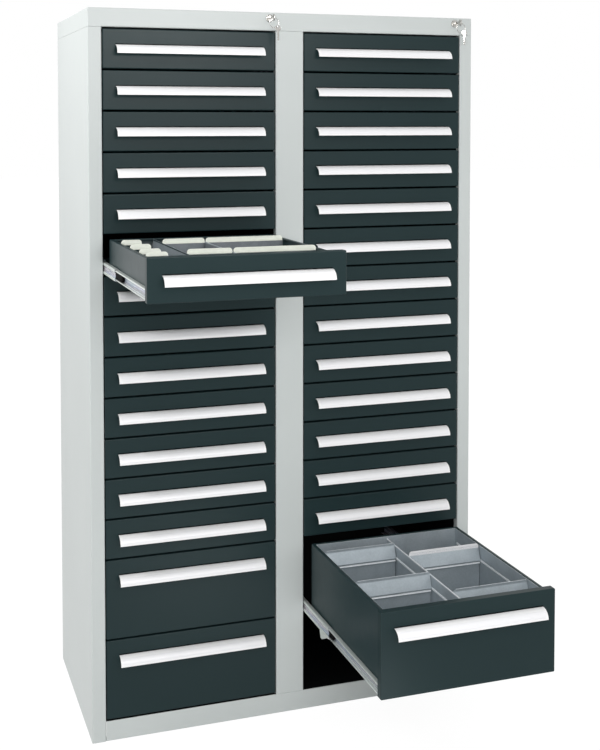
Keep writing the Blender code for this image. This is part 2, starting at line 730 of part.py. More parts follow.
def lock_key(name, column):
    """The key: a blade in the plug and a round bow with a hole for its ring."""
    half = KEY_SHEET / 2
    bow = prism(name, circle((-KEY_BOW_REACH, 0), KEY_BOW_RADIUS), "x", -half, half, "chrome")
    high = KEY_BLADE_HEIGHT / 2
    blade = block("blade", (-half, -KEY_BOW_REACH + KEY_BOW_RADIUS - KEY_BLADE_HEIGHT, -high),
                  (half, KEY_BLADE_TIP, high), "chrome")
    hole = prism("hole", circle((-KEY_BOW_REACH - KEY_HOLE_OFFSET, 0), KEY_HOLE_RADIUS,
                                ROUND_STEPS // 2), "x", -2 * half, 2 * half, "chrome")
    mesh = combine(combine(bow, [blade], "UNION"), [hole], "DIFFERENCE")
    place(name, mesh, (lock_x(column), FRONT, LOCK_Z))


def lock_bar(name, column):
    """A flat bar with an arm at its top, slotted for the crank pin."""
    pin_x, pin_z = crank_pin_place()
    bar = column * COLUMN_X + OPENING_WIDTH / 2 + LOCK_BAR_OFFSET - lock_x(column)
    half = LOCK_BAR_WIDTH / 2
    foot = BASE_HEIGHT + LOCK_BAR_FOOT_GAP - LOCK_Z
    arm_low = pin_z - LOCK_ARM_HEIGHT / 2
    arm_high = pin_z + LOCK_ARM_HEIGHT / 2
    arm_end = CRANK_PIN_RADIUS
    outline = [(bar - half, foot), (bar + half, foot), (bar + half, arm_high),
               (arm_end, arm_high), (arm_end, arm_low), (bar - half, arm_low)]
    y_low = LOCK_BAR_SETBACK
    y_high = LOCK_BAR_SETBACK + LOCK_BAR_THICKNESS
    mesh = prism(name, outline, "y", y_low, y_high, "zinc")
    reach = CRANK_PIN_RADIUS + LOCK_SLOT_CLEARANCE
    slot = block("slot", (pin_x - reach, y_low - WELD, pin_z - reach),
                 (CRANK_PIN_OFFSET + reach, y_high + WELD, pin_z + reach), "zinc")
    place(name, combine(mesh, [slot], "DIFFERENCE"), (lock_x(column), FRONT, LOCK_Z))


def main():
    clear_scene()
    side_panel("left_side_panel", -1)
    side_panel("right_side_panel", 1)
    centre_post()
    base_pan()
    back_panel()
    top_cover()
    runner_frames()
    closed_drawers()
    bottom, height = drawer_levels(LEFT_UNIT_COUNTS)[SHALLOW_OPEN_INDEX]
    stem = f"drawer_left_{SHALLOW_OPEN_INDEX + 1:02d}"
    shallow_dividers(stem, height, open_drawer(stem, -1, bottom, height, SHALLOW_PULL, False))
    bottom, height = drawer_levels(RIGHT_UNIT_COUNTS)[TALL_OPEN_INDEX]
    stem = f"drawer_right_{TALL_OPEN_INDEX + 1:02d}"
    tall_dividers(stem, height, open_drawer(stem, 1, bottom, height, TALL_PULL, True))
    for column, word in ((-1, "left"), (1, "right")):
        lock_plug(f"lock_plug_{word}", column)
        lock_key(f"lock_key_{word}", column)
        lock_bar(f"lock_bar_{word}", column)


main()
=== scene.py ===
"""The looks of an industrial drawer cabinet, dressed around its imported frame.

Lengths are metres, written as millimetres times MM. +X is to the right seen from the front,
+Y to the back, +Z up. Places come from the frame's boxes, and detail sizes are named below.
"""

import math

import bmesh
import bpy
from mathutils import Matrix, Vector

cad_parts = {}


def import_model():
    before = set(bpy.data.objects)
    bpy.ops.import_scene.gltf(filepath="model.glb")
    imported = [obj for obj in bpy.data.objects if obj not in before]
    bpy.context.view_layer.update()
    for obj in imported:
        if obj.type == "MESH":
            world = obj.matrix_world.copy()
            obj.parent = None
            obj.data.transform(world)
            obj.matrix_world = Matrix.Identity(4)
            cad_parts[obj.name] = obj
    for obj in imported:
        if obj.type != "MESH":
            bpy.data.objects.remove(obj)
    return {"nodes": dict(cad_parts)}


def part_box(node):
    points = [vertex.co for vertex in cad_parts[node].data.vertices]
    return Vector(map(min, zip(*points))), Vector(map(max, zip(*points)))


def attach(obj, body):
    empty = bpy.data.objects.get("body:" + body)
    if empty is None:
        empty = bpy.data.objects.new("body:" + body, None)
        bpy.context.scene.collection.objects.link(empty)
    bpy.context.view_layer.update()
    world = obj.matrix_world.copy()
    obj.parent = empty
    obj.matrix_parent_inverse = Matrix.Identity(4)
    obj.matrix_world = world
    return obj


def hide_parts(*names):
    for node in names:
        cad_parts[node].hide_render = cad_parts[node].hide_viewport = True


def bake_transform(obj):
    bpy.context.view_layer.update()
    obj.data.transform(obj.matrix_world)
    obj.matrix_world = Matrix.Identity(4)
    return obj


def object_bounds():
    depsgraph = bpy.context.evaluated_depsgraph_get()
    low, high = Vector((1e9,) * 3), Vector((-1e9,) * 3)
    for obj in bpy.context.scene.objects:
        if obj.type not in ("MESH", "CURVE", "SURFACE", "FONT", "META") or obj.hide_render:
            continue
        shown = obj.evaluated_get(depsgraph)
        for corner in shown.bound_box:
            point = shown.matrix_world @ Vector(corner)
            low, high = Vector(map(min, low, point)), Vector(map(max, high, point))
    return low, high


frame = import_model()
cad_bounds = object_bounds()

MM = 0.001

# Fits of the frame
FIT = 0.3 * MM
WELD = 0.6 * MM

# Carcass
SIDE_STILE = 34 * MM
CENTRE_STILE = 74 * MM
STILE_LIP = 20 * MM
BACK_FLANGE = 18 * MM
COVER_SIDE_LIP = 12 * MM
CARCASS_SHEET = 1.5 * MM
FOLD_RADIUS = 3 * MM
FOLD_STEPS = 8
FINE_FOLD_STEPS = 4
EDGE_ROUND = 0.35 * MM
SEAM_ROUND = 0.5 * MM
BASE_FLANGE = 22 * MM
BEARER_WIDTH = 60 * MM
BEARER_END_GAP = 30 * MM

# Drawers
SLIDE_THICKNESS = 13 * MM
PAN_DEPTH = 19 * MM
PAN_SHEET = 1.2 * MM
PAN_RADIUS = 2.5 * MM
PAN_CORNER = 3 * MM
BOX_SHEET = 1.2 * MM
BOX_RIM = 9 * MM
BOX_FRONT_RIM = 3 * MM
BOX_RIM_LIP = 3 * MM
BOX_LIFT = 5 * MM
BOX_DROP = 8 * MM
BOX_CORNER = 3 * MM
BOX_FOLD = 1.8 * MM
BOX_END = 485 * MM

# Strip handles
HANDLE_LENGTH = 372 * MM
HANDLE_DROP = 38 * MM
HANDLE_HEIGHT = 21.6 * MM
HANDLE_REACH = 25 * MM
HANDLE_SHEET = 2 * MM
HANDLE_EDGE = 0.4 * MM
HANDLE_FLANGE = 12 * MM
HANDLE_STEPS = 20
HANDLE_FLANGE_INSET = 12 * MM
# Painted shadow: the black strip above each handle, drawn for the shadow line there
SHADOW_LINE_HEIGHT = 2.2 * MM
SHADOW_LINE_SHEET = 0.8 * MM
LABEL_INSET = 5 * MM
LABEL_SHEET = 0.3 * MM
LABEL_ROUND = 5 * MM
LABEL_ROUND_POWER = 4
LABEL_ROWS = 10
LABEL_START_SHARE = 0.39
LABEL_END_SHARE = 0.86

# Telescopic slides
SLIDE_SHEET = 1.2 * MM
SLIDE_GAP = 0.5 * MM
SLIDE_RISE = 17 * MM
CABINET_MEMBER_HEIGHT = 35 * MM
CABINET_MEMBER_REACH = 9.5 * MM
MIDDLE_MEMBER_HEIGHT = 28 * MM
MIDDLE_MEMBER_REACH = 11 * MM
DRAWER_MEMBER_HEIGHT = 24 * MM
CABINET_MEMBER_SETBACK = 23 * MM
MIDDLE_MEMBER_SETBACK = 50 * MM
SHALLOW_MEMBER_TRIM = 55 * MM
TALL_MEMBER_TRIM = 26 * MM
DRAWER_MEMBER_SETBACK = 21 * MM
MEMBER_REAR_GAP = 7 * MM
MEMBER_LIP = 3.2 * MM
MEMBER_FOLD = 1.6 * MM
MEMBER_FOLD_STEPS = 3
MEMBER_EDGE = 0.2 * MM
MIDDLE_SHARE = 0.5
RACEWAY = 2.2 * MM
RACEWAY_HALF = 6.4 * MM
RACEWAY_SLOPE = 0.8 * MM
CAGE_START = 158 * MM
TALL_CAGE_LAG = 18 * MM
CAGE_LENGTH = 240 * MM
CAGE_TIP = 5 * MM
CAGE_LOW = 5 * MM
CAGE_HIGH = 11.2 * MM
CAGE_HALF = 8.4 * MM
CAGE_EDGE = 0.5 * MM
CAGE_SHARE = 0.75
STOP_TAB_LENGTH = 84 * MM
STOP_TAB_DROP = 29 * MM
STOP_TAB_SETBACK = 6 * MM
STOP_TAB_SLOPE = 12 * MM
STOP_TAB_FOOT = 10 * MM

# Uprights behind the stiles, and the back
UPRIGHT_DEPTH = 40 * MM
UPRIGHT_SETBACK = 26.3 * MM
UPRIGHT_SHEET = 1.5 * MM
UPRIGHT_HEAD_GAP = 8 * MM
REAR_UPRIGHT_GAP = 25 * MM
BACK_RIB_DEPTH = 3 * MM
BACK_RIB_WIDTH = 10 * MM
BACK_RIB_SLOPE = 4 * MM
BACK_RIB_SLANT = 0.3
BACK_RIB_PLACE_SHARES = (-0.75, -0.25, 0.25, 0.75)
RIVET_RADIUS = 2.6 * MM
RIVET_HEIGHT = 1.0 * MM
RIVET_COUNT = 9
RIVET_STEPS = 20
RIVET_DOME = ((0, 1), (0.6, 0.85), (1, 0.4))

# Liners and dividers of the open drawers
LINER_SHEET = 0.8 * MM
LINER_DROP = 0.8 * MM
SHEET_EDGE = 0.15 * MM
HEMMED_SHEET_EDGE = 0.12 * MM
# Painted highlight: how far down from a liner's top edge it is painted lighter
PAINTED_HIGHLIGHT_EDGE = 0.2 * MM
BEAD_LENGTH = 25 * MM
BEAD_GAP = 2 * MM
BEAD_HALF = 3.2 * MM
BEAD_PROUD = 1.3 * MM
BEAD_DROP = 37 * MM
DIVIDER_SHEET = 1 * MM
HEM_HALF = 1.2 * MM
HEM_HEIGHT = 3 * MM
HEM_STEPS = 6
SHALLOW_SECTION = 103.5 * MM
NARROW_TAB_WIDTH = 48 * MM
NARROW_PLATE_STEP = 32 * MM
TAB_RISE = 9 * MM
TAB_OVERLAP = 3 * MM
TAB_CORNER = 7 * MM
TAB_HALF = 1.3 * MM
TAB_RIB = 0.35 * MM
TAB_RIBS = 4
TAB_RIB_SHARE = 0.6
TAB_GROOVE_SHARE = 0.7
TAB_RIB_STEP = 0.01 * MM
TAB_CORNER_STEPS = 6
TAB_EDGE = 0.1 * MM
NARROW_PLATE_PLACES = (104 * MM, 174 * MM, 275 * MM, 380 * MM)
WIDE_PLATE_PLACES = (137 * MM, 378 * MM)
LEANER_DROP = 0.5 * MM
LEANER_BEND = 44 * MM
LEANER_STEP = 7 * MM
LEANER_LEAN = 12 * MM
LEANER_STEPS = ((0, -4 * MM), (4 * MM, -2 * MM), (4 * MM, 0), (1 * MM, 2 * MM), (1 * MM, 5 * MM),
                (LEANER_STEP, 7 * MM))
# Painted highlight: the band about a leaner's bend whose upward faces are painted lighter, the slant
# that counts as upward, and the top edge painted lighter
LEANER_BEAD = (-5 * MM, 8 * MM)
LEANER_BEAD_SLANT = 0.2
LEANER_PAINTED_HIGHLIGHT_TOP = 0.3 * MM
LEANER_CORNER = 9 * MM
LEANER_CORNER_STEPS = 6
LEANER_SQUARE_CORNER = 3 * MM
LEANER_HEM = 6 * MM
LEANER_FOLD = 1.2 * MM
LONG_DIVIDER_DROP = 6 * MM
LEANER_LABEL_RISE = 4 * MM
LEANER_LABEL_DROP = 8 * MM

# Locks and keys
COLLAR_RADIUS = 9.5 * MM
COLLAR_DEPTH = 3 * MM
COLLAR_RIM = 1.2 * MM
PLUG_RADIUS = 8 * MM
PLUG_FACE_RADIUS = 6.6 * MM
PLUG_BOSS_SHARES = (0.8, 0.85)
PLUG_BOSS_STEPS = 32
CRANK_RADIUS = 12 * MM
CRANK_START = 18.5 * MM
CRANK_DEPTH = 3 * MM
CRANK_PIN_RADIUS = 2 * MM
CRANK_PIN_OFFSET = 9.5 * MM
CRANK_PIN_END = 26.5 * MM
CRANK_PIN_STEPS = 24
KEY_SHEET = 2.2 * MM
KEY_EDGE = 0.3 * MM
KEY_BLADE_HALF = 3.2 * MM
KEY_BOW_RADIUS = 8.5 * MM
KEY_BOW_STEPS = 32
KEY_REACH = 34 * MM
KEY_HOLE_RADIUS = 2.6 * MM
KEY_HOLE_OFFSET = 4.2 * MM
KEY_HOLE_STEPS = 24
KEY_TIP = 2 * MM
KEY_NOTCHES = 5
KEY_NOTCH_SHARE = 1 / 8
KEY_EDGE_SHARES = (0.7, 0.35, 0.85)
# Turns of a key that is drawn in X and Y: its blade into the lock, and its blade down
KEY_IN_LOCK = Matrix(((0, 0, 1, 0), (1, 0, 0, 0), (0, 1, 0, 0), (0, 0, 0, 1)))
KEY_HANGING = Matrix(((0, 0, 1, 0), (0, 1, 0, 0), (-1, 0, 0, 0), (0, 0, 0, 1)))
SPARE_BLADE = 28 * MM
SPARE_SCALE = 0.85
RING_RADIUS = 12 * MM
RING_WIRE = 0.8 * MM
RING_WIRE_STEPS = 10
SPARE_TURNS_DEG = {"left": 66, "right": 78}
SPARE_SLIP_DEG = 45

# Shading: bump depths, and the share of a normal by which a face counts as facing a side
GRAIN_DEPTH = 0.1 * MM
CLOUD_DEPTH = 0.3 * MM
FACING = 0.9
EDGE_ANGLE_DEG = 40
SHARP_ANGLE_DEG = 35
MERGE_DISTANCE = 0.005 * MM
CIRCLE_STEPS = 48
TINT_START = 0.30
TINT_SPAN = 0.42

# Camera, light and floor
PHOTO_WIDTH = 600
PHOTO_HEIGHT = 750
FOCAL_PIXELS = 1218.1
PRINCIPAL_ROW = 174.5
CAMERA_PLACE = (-0.9868, -3.1862, 1.5265)
CAMERA_YAW = 0.3332
CAMERA_PITCH = 0.0436
CAMERA_RANGE = 100
SENSOR_WIDTH = 36
AMBIENT = 0.76
FLOOR_GREY = 0.78
FLOOR_ROUGHNESS = 0.9
FLOOR_GLOW = 1.1
FLOOR_GLOW_SHARE = 0.86
FLOOR_HALF = 30
# Each lamp's name, place, target, width, height, watts, and the rays that miss it
LAMPS = (
    ("key", (-1.7, -0.22, 2.4), (-0.5, 0, 1.75), 0.6, 0.6, 14, None),
    ("front", (-0.4, -2.8, 1.65), (0, 0, 0.9), 1.4, 0.7, 22, "visible_glossy"),
    ("high_gloss", (0.1, -2.3, 2.15), (-0.1, 0, 1.5), 0.9, 0.4, 32, "visible_diffuse"),
    ("low_gloss", (-0.04, -1.1, 0.06), (-0.3, 0, 0.35), 0.5, 0.25, 1.3, "visible_diffuse"),
    ("rim_gloss", (-2.4, -0.95, 1.0), (-0.2, 0, 1.0), 0.8, 2.2, 24, "visible_diffuse"),
)

# The two columns: side of the middle, name and number of drawers
COLUMNS = ((-1, "left", 15), (1, "right", 14))

# The two sides of a drawer: the way in from it, and its name
SIDES = ((1, "left"), (-1, "right"))


# Meshes


def placed(name, data, location=(0, 0, 0)):
    """A new object in the scene."""
    obj = bpy.data.objects.new(name, data)
    obj.location = location
    bpy.context.scene.collection.objects.link(obj)
    return obj


def quarter(steps=FOLD_STEPS):
    """What is still missing from a quarter turn's sine and cosine at each step, as shares."""
    angles = [math.pi / 2 * i / steps for i in range(steps + 1)]
    return [(1 - math.sin(angle), 1 - math.cos(angle)) for angle in angles]


def arc(centre, radius, start, end, steps):
    """Points on an arc, both ends included. Angles are in turns of a right angle."""
    points = []
    for i in range(steps + 1):
        angle = math.pi / 2 * (start + (end - start) * i / steps)
        points.append((centre[0] + radius * math.cos(angle), centre[1] + radius * math.sin(angle)))
    return points


def rounded_rectangle(u_low, u_high, v_low, v_high, radius, steps=FINE_FOLD_STEPS):
    """A rectangle's outline with its corners rounded, from the lower right corner round."""
    corners = ((u_high, v_low, -1), (u_high, v_high, 0), (u_low, v_high, 1), (u_low, v_low, 2))
    points = []
    for u, v, turn in corners:
        centre = (u - radius * (1 if u == u_high else -1), v - radius * (1 if v == v_high else -1))
        points += arc(centre, radius, turn, turn + 1, steps)
    return points


def folded(path, thickness):
    """Outline of a sheet folded along an open path, with its thickness to the path's left."""
    points = [Vector(p) for p in path]
    normals = []
    for a, b in zip(points, points[1:]):
        run = (b - a).normalized()
        normals.append(Vector((-run.y, run.x)))
    shifted = [points[0] + normals[0] * thickness]
    for point, first, second in zip(points[1:], normals, normals[1:]):
        shifted.append(point + (first + second) * thickness / (1 + first.dot(second)))
    shifted.append(points[-1] + normals[-1] * thickness)
    return [tuple(p) for p in points] + [tuple(p) for p in reversed(shifted)]


def rounded(path, radius, steps=FOLD_STEPS):
    """An open path with each of its inner corners turned into an arc of that radius."""
    points = [Vector(p) for p in path]
    result = [points[0]]
    for before, corner, after in zip(points, points[1:], points[2:]):
        start = (before - corner).normalized()
        end = (after - corner).normalized()
        half = start.angle(end) / 2
        centre = corner + (start + end).normalized() * radius / math.sin(half)
        first = corner + start * radius / math.tan(half) - centre
        turn = -first.angle_signed(corner + end * radius / math.tan(half) - centre)
        for i in range(steps + 1):
            angle = turn * i / steps
            result.append(centre + Vector((first.x * math.cos(angle) - first.y * math.sin(angle),
                                           first.x * math.sin(angle) + first.y * math.cos(angle))))
    return result + [points[-1]]


def mirrored(outline, side):
    """The outline as it is for side 1, and with its first coordinate reversed for side -1."""
    return [(side * p[0], p[1]) for p in outline]


def add_loops(bm, rings, closed=False):
    """Rings of points, each joined to the next, and closed round where the last meets the first."""
    loops = [[bm.verts.new(point) for point in ring] for ring in rings]
    count = len(loops[0])
    for lower, upper in zip(loops, loops[1:] + (loops[:1] if closed else [])):
        for i in range(count):
            j = (i + 1) % count
            bm.faces.new((lower[i], lower[j], upper[j], upper[i]))
    return loops


def add_rings(bm, rings):
    """A closed body from rings of points, with both ends capped."""
    loops = add_loops(bm, rings)
    bm.faces.new(loops[0])
    bm.faces.new(loops[-1])


def add_prism(bm, outline, axis, low, high):
    """An outline pushed along an axis from low to high."""
    order = {"x": (2, 0, 1), "y": (0, 2, 1), "z": (0, 1, 2)}[axis]
    rings = []
    for level in (low, high):
        rings.append([tuple((p[0], p[1], level)[k] for k in order) for p in outline])
    add_rings(bm, rings)


def add_block(bm, low, high):
    outline = [(low[0], low[1]), (high[0], low[1]), (high[0], high[1]), (low[0], high[1])]
    add_prism(bm, outline, "z", low[2], high[2])


def circle(radius, steps=CIRCLE_STEPS):
    return arc((0, 0), radius, 0, 4, steps)[:-1]


def add_turned(bm, profile, centre=(0, 0), steps=CIRCLE_STEPS):
    """A body turned about Y, from (y, radius) stops, its axis at centre in X and Z."""
    rings = []
    for y, radius in profile:
        rings.append([(centre[0] + x, y, centre[1] + z) for x, z in circle(radius, steps)])
    add_rings(bm, rings)


def paint(mesh, index, test):
    """Give one of the mesh's materials to the faces whose centre and normal pass the test."""
    for polygon in mesh.polygons:
        if test(polygon.center, polygon.normal):
            polygon.material_index = index


def dressed(name, bm, materials, edge=0.0, cutters=()):
    """The finished mesh: outward faces, cut holes, softened edges, smooth folds beside flats."""
    bmesh.ops.recalc_face_normals(bm, faces=bm.faces)
    raw = bpy.data.meshes.new(name)
    bm.to_mesh(raw)
    bm.free()
    for material in materials:
        raw.materials.append(material)
    raw.shade_smooth()
    work = placed(name + "_work", raw)
    tools = []
    for cutter in cutters:
        bmesh.ops.recalc_face_normals(cutter, faces=cutter.faces)
        shape = bpy.data.meshes.new(name + "_cutter")
        cutter.to_mesh(shape)
        cutter.free()
        tool = placed(name + "_cutter", shape)
        cut = work.modifiers.new("cut", "BOOLEAN")
        cut.operation = "DIFFERENCE"
        cut.solver = "EXACT"
        cut.object = tool
        tools.append(tool)
    if edge:
        bevel = work.modifiers.new("edges", "BEVEL")
        bevel.width = edge
        bevel.segments = 2
        bevel.limit_method = "ANGLE"
        bevel.angle_limit = math.radians(EDGE_ANGLE_DEG)
    weighted = work.modifiers.new("flats", "WEIGHTED_NORMAL")
    weighted.weight = 100
    graph = bpy.context.evaluated_depsgraph_get()
    mesh = bpy.data.meshes.new_from_object(work.evaluated_get(graph),
                                           preserve_all_data_layers=True, depsgraph=graph)
    mesh.name = name
    for used in [work] + tools:
        shape = used.data
        bpy.data.objects.remove(used)
        bpy.data.meshes.remove(shape)
    return mesh


def ringed(name, rings, materials, edge=0.0):
    """The finished mesh of one closed body made from rings of points."""
    bm = bmesh.new()
    add_rings(bm, rings)
    return dressed(name, bm, materials, edge)


def extruded(name, outline, axis, low, high, materials, edge=0.0):
    """The finished mesh of an outline pushed along an axis from low to high."""
    bm = bmesh.new()
    add_prism(bm, outline, axis, low, high)
    return dressed(name, bm, materials, edge)


def stamped(name, outlines, thickness, edge, material):
    """A flat plate with holes, its edges rounded, from closed outlines in X and Y."""
    curve = bpy.data.curves.new(name, "CURVE")
    curve.dimensions = "2D"
    curve.fill_mode = "BOTH"
    curve.extrude = thickness / 2 - edge
    curve.bevel_depth = edge
    curve.bevel_resolution = 2
    curve.offset = -edge
    for outline in outlines:
        spline = curve.splines.new("POLY")
        spline.points.add(len(outline) - 1)
        for point, (x, y) in zip(spline.points, outline):
            point.co = (x, y, 0, 1)
        spline.use_cyclic_u = True
    work = placed(name + "_work", curve)
    graph = bpy.context.evaluated_depsgraph_get()
    mesh = bpy.data.meshes.new_from_object(work.evaluated_get(graph), depsgraph=graph)
    mesh.name = name
    mesh.materials.append(material)
    bpy.data.objects.remove(work)
    bpy.data.curves.remove(curve)
    bm = bmesh.new()
    bm.from_mesh(mesh)
    bmesh.ops.remove_doubles(bm, verts=bm.verts, dist=MERGE_DISTANCE)
    bmesh.ops.recalc_face_normals(bm, faces=bm.faces)
    bm.to_mesh(mesh)
    bm.free()
    mesh.shade_smooth()
    mesh.set_sharp_from_angle(angle=math.radians(SHARP_ANGLE_DEG))
    return mesh


def piece(name, mesh, body, location=(0, 0, 0), replaces=()):
    """Put a mesh in the scene as a named piece that rides on a body."""
    obj = placed(name, mesh, location)
    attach(obj, body)
    if replaces:
        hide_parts(*replaces)
    return obj


# Materials


class Finish:
    """A node material under construction."""

    def __init__(self, name):
        self.material = bpy.data.materials.new(name)
        self.material.use_nodes = True
        self.tree = self.material.node_tree
        self.shader = self.tree.nodes["Principled BSDF"]
        self.place = self.tree.nodes.new("ShaderNodeTexCoord").outputs["Object"]

    def node(self, kind, **settings):
        node = self.tree.nodes.new(kind)
        for key, value in settings.items():
            if key in node.inputs.keys():
                node.inputs[key].default_value = value
            else:
                setattr(node, key, value)
        return node

    def link(self, source, target):
        self.tree.links.new(source, target)

    def set(self, socket, value):
        self.shader.inputs[socket].default_value = value

    def noise(self, scale, detail=2.0, stretch=None):
        """A noise value, its grain drawn out where stretch is less than 1."""
        node = self.node("ShaderNodeTexNoise", Scale=scale, Detail=detail)
        vector = self.place
        if stretch:
            mapping = self.node("ShaderNodeMapping", Scale=stretch)
            self.link(vector, mapping.inputs["Vector"])
            vector = mapping.outputs["Vector"]
        self.link(vector, node.inputs["Vector"])
        return node.outputs["Fac"]

    def colours(self, fac, stops):
        """The colour follows a value through (position, colour) stops."""
        node = self.node("ShaderNodeValToRGB")
        elements = node.color_ramp.elements
        for _ in stops[2:]:
            elements.new(0.5)
        for element, (position, colour) in zip(elements, stops):
            element.position = position
            element.color = (*colour, 1)
        self.link(fac, node.inputs["Fac"])
        self.link(node.outputs["Color"], self.shader.inputs["Base Color"])

    def roughness(self, fac, low, high):
        """The roughness runs from low to high with a value between 0 and 1."""
        node = self.node("ShaderNodeMapRange")
        node.inputs["To Min"].default_value = low
        node.inputs["To Max"].default_value = high
        self.link(fac, node.inputs["Value"])
        self.link(node.outputs["Result"], self.shader.inputs["Roughness"])

    def bump(self, height, strength, distance):
        node = self.node("ShaderNodeBump", Strength=strength, Distance=distance)
        self.link(height, node.inputs["Height"])
        self.link(node.outputs["Normal"], self.shader.inputs["Normal"])

    def toned(self, scale, detail, dark, light):
        """The colour drifts between dark and light with a noise."""
        self.colours(self.noise(scale, detail), ((0.3, dark), (0.7, light)))


def shade(colour, factor):
    return tuple(c * factor for c in colour)


def powder_coat(name, colour, roughness, specular, drift=0.02, peel=0.12):
    """Sprayed powder: a fine orange peel, and a slow drift of tone."""
    finish = Finish(name)
    finish.toned(2.5, 3, shade(colour, 1 - drift), shade(colour, 1 + drift))
    finish.roughness(finish.noise(35, 2), roughness - 0.03, roughness + 0.03)
    finish.bump(finish.noise(900, 2), peel, GRAIN_DEPTH)
    finish.set("Specular IOR Level", specular)
    return finish.material


def galvanised(name, dark, light, roughness, metallic=0.35):
    """Zinc-coated sheet: fine spangles under a soft cloudy sheen."""
    finish = Finish(name)
    cells = finish.node("ShaderNodeTexVoronoi", Scale=420)
    finish.link(finish.place, cells.inputs["Vector"])
    grey = finish.node("ShaderNodeRGBToBW")
    finish.link(cells.outputs["Color"], grey.inputs["Color"])
    cloud = finish.noise(22, 3)
    mix = finish.node("ShaderNodeMix", data_type="FLOAT")
    mix.inputs["Factor"].default_value = 0.3
    finish.link(cloud, mix.inputs["A"])
    finish.link(grey.outputs["Val"], mix.inputs["B"])
    finish.colours(mix.outputs["Result"], ((0.25, dark), (0.75, light)))
    finish.roughness(grey.outputs["Val"], roughness - 0.06, roughness + 0.06)
    finish.bump(cloud, 0.05, CLOUD_DEPTH)
    finish.set("Metallic", metallic)
    return finish.material


def passivated_zinc(name, tints, rough):
    """Passivated zinc: drawing lines along the rail, and faint rainbow tints."""
    finish = Finish(name)
    last = len(tints) - 1
    stops = [(TINT_START + TINT_SPAN * i / last, colour) for i, colour in enumerate(tints)]
    finish.colours(finish.noise(9, 2, (1.0, 0.7, 5.0)), stops)
    lines = finish.noise(60, 3, (8.0, 0.25, 8.0))
    finish.roughness(lines, rough, rough + 0.16)
    finish.bump(lines, 0.05, GRAIN_DEPTH)
    finish.set("Metallic", 0.5)
    return finish.material


def chrome(name):
    """Nickel-plated metal, a little cloudy."""
    finish = Finish(name)
    finish.toned(60, 2, (0.42, 0.41, 0.39), (0.52, 0.51, 0.49))
    finish.roughness(finish.noise(140, 2), 0.10, 0.22)
    finish.set("Metallic", 1.0)
    return finish.material


def moulded(name, colour, roughness, drift=0.015, specular=0.5):
    """Moulded plastic or card: a faint grain."""
    finish = Finish(name)
    finish.toned(90, 2, shade(colour, 1 - drift), shade(colour, 1 + drift))
    finish.roughness(finish.noise(200, 2), roughness - 0.05, roughness + 0.05)
    finish.bump(finish.noise(500, 2), 0.05, GRAIN_DEPTH)
    finish.set("Specular IOR Level", specular)
    return finish.material


CARCASS = powder_coat("carcass_powder", (0.600, 0.638, 0.628), 0.42, 0.30)
ANTHRACITE = powder_coat("anthracite_powder", (0.0145, 0.0308, 0.0330), 0.37, 0.14, 0.05, 0.10)
BOX_PAINT = powder_coat("box_powder", (0.0185, 0.0370, 0.0405), 0.34, 0.17, 0.05, 0.03)
WHITE = powder_coat("handle_powder", (0.94, 0.94, 0.94), 0.32, 0.4, 0.004, 0.03)
PAPER = moulded("label_paper", (0.90, 0.90, 0.915), 0.4, 0.004)
CREAM = moulded("label_cream", (0.93, 0.96, 0.86), 0.45, 0.03)
GALVANISED = galvanised("galvanised_sheet_metal", (0.32, 0.365, 0.395), (0.42, 0.475, 0.51), 0.42)
# Painted shade: a darker copy of the galvanised sheet, for plates that lie in shade
SHADED_SHEET = galvanised("galvanised_with_painted_shade", (0.15, 0.17, 0.19), (0.22, 0.245, 0.265), 0.42)
# Painted highlight: a lighter copy of the galvanised sheet, for beads, hems and top edges that catch
# the light
HIGHLIGHT_SHEET = galvanised("galvanised_with_painted_highlight", (0.82, 0.85, 0.87), (0.92, 0.95, 0.97), 0.35, 0.15)
ZINC = passivated_zinc("passivated_zinc", ((0.44, 0.54, 0.58), (0.48, 0.52, 0.64), (0.60, 0.56, 0.60),
                                           (0.44, 0.60, 0.62)), 0.18)
# Painted highlight on the slide members' flanges, which are the same zinc as the webs; also the
# rivets' zinc
BRIGHT_ZINC_AND_HIGHLIGHT = passivated_zinc("bright_zinc_and_painted_highlight", ((0.68, 0.73, 0.70), (0.73, 0.77, 0.74)), 0.24)
CHROME = chrome("nickel_chrome")
# Black plastic of the ball cages; also the painted shadow line above each handle
BLACK = moulded("black_plastic_and_painted_shadow", (0.003, 0.003, 0.0035), 0.7, 0.015, 0.04)
# Painted shade: near black for the faces inside the carcass, standing for the shade there
PAINTED_SHADE = powder_coat("painted_shade_black", (0.0045, 0.0050, 0.0055), 0.6, 0.05, 0.3)


# Frame sizes

panel_low, panel_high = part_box("right_side_panel")
FRONT = panel_low.y
BACK = panel_high.y
HALF_WIDTH = panel_high.x
OPENING_TOP = panel_high.z + FIT
CABINET_TOP = cad_bounds[1][2]
post_low, post_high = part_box("centre_post")
BASE_HEIGHT = post_low.z - FIT
back_low, back_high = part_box("back_panel")
BACK_FACE = back_low.y
OPENING_WIDTH = HALF_WIDTH - SIDE_STILE - CENTRE_STILE / 2
front_low, front_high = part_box("drawer_left_06_front")
FRONT_WIDTH = front_high.x - front_low.x
BOX_WIDTH = OPENING_WIDTH - 2 * SLIDE_THICKNESS
COLUMN_X = (CENTRE_STILE + OPENING_WIDTH) / 2
MEMBER_END = BACK_FACE - MEMBER_REAR_GAP - FRONT

# Inside an open drawer, in its own frame
LINER_INSET = BOX_RIM + FIT
INNER_HALF = BOX_WIDTH / 2 - LINER_INSET - LINER_SHEET
INNER_NEAR = PAN_DEPTH + FIT + BOX_FRONT_RIM + FIT + LINER_SHEET
INNER_FAR = BOX_END - LINER_INSET - LINER_SHEET
INNER_FLOOR = BOX_LIFT + BOX_SHEET + LINER_SHEET + 2 * FIT


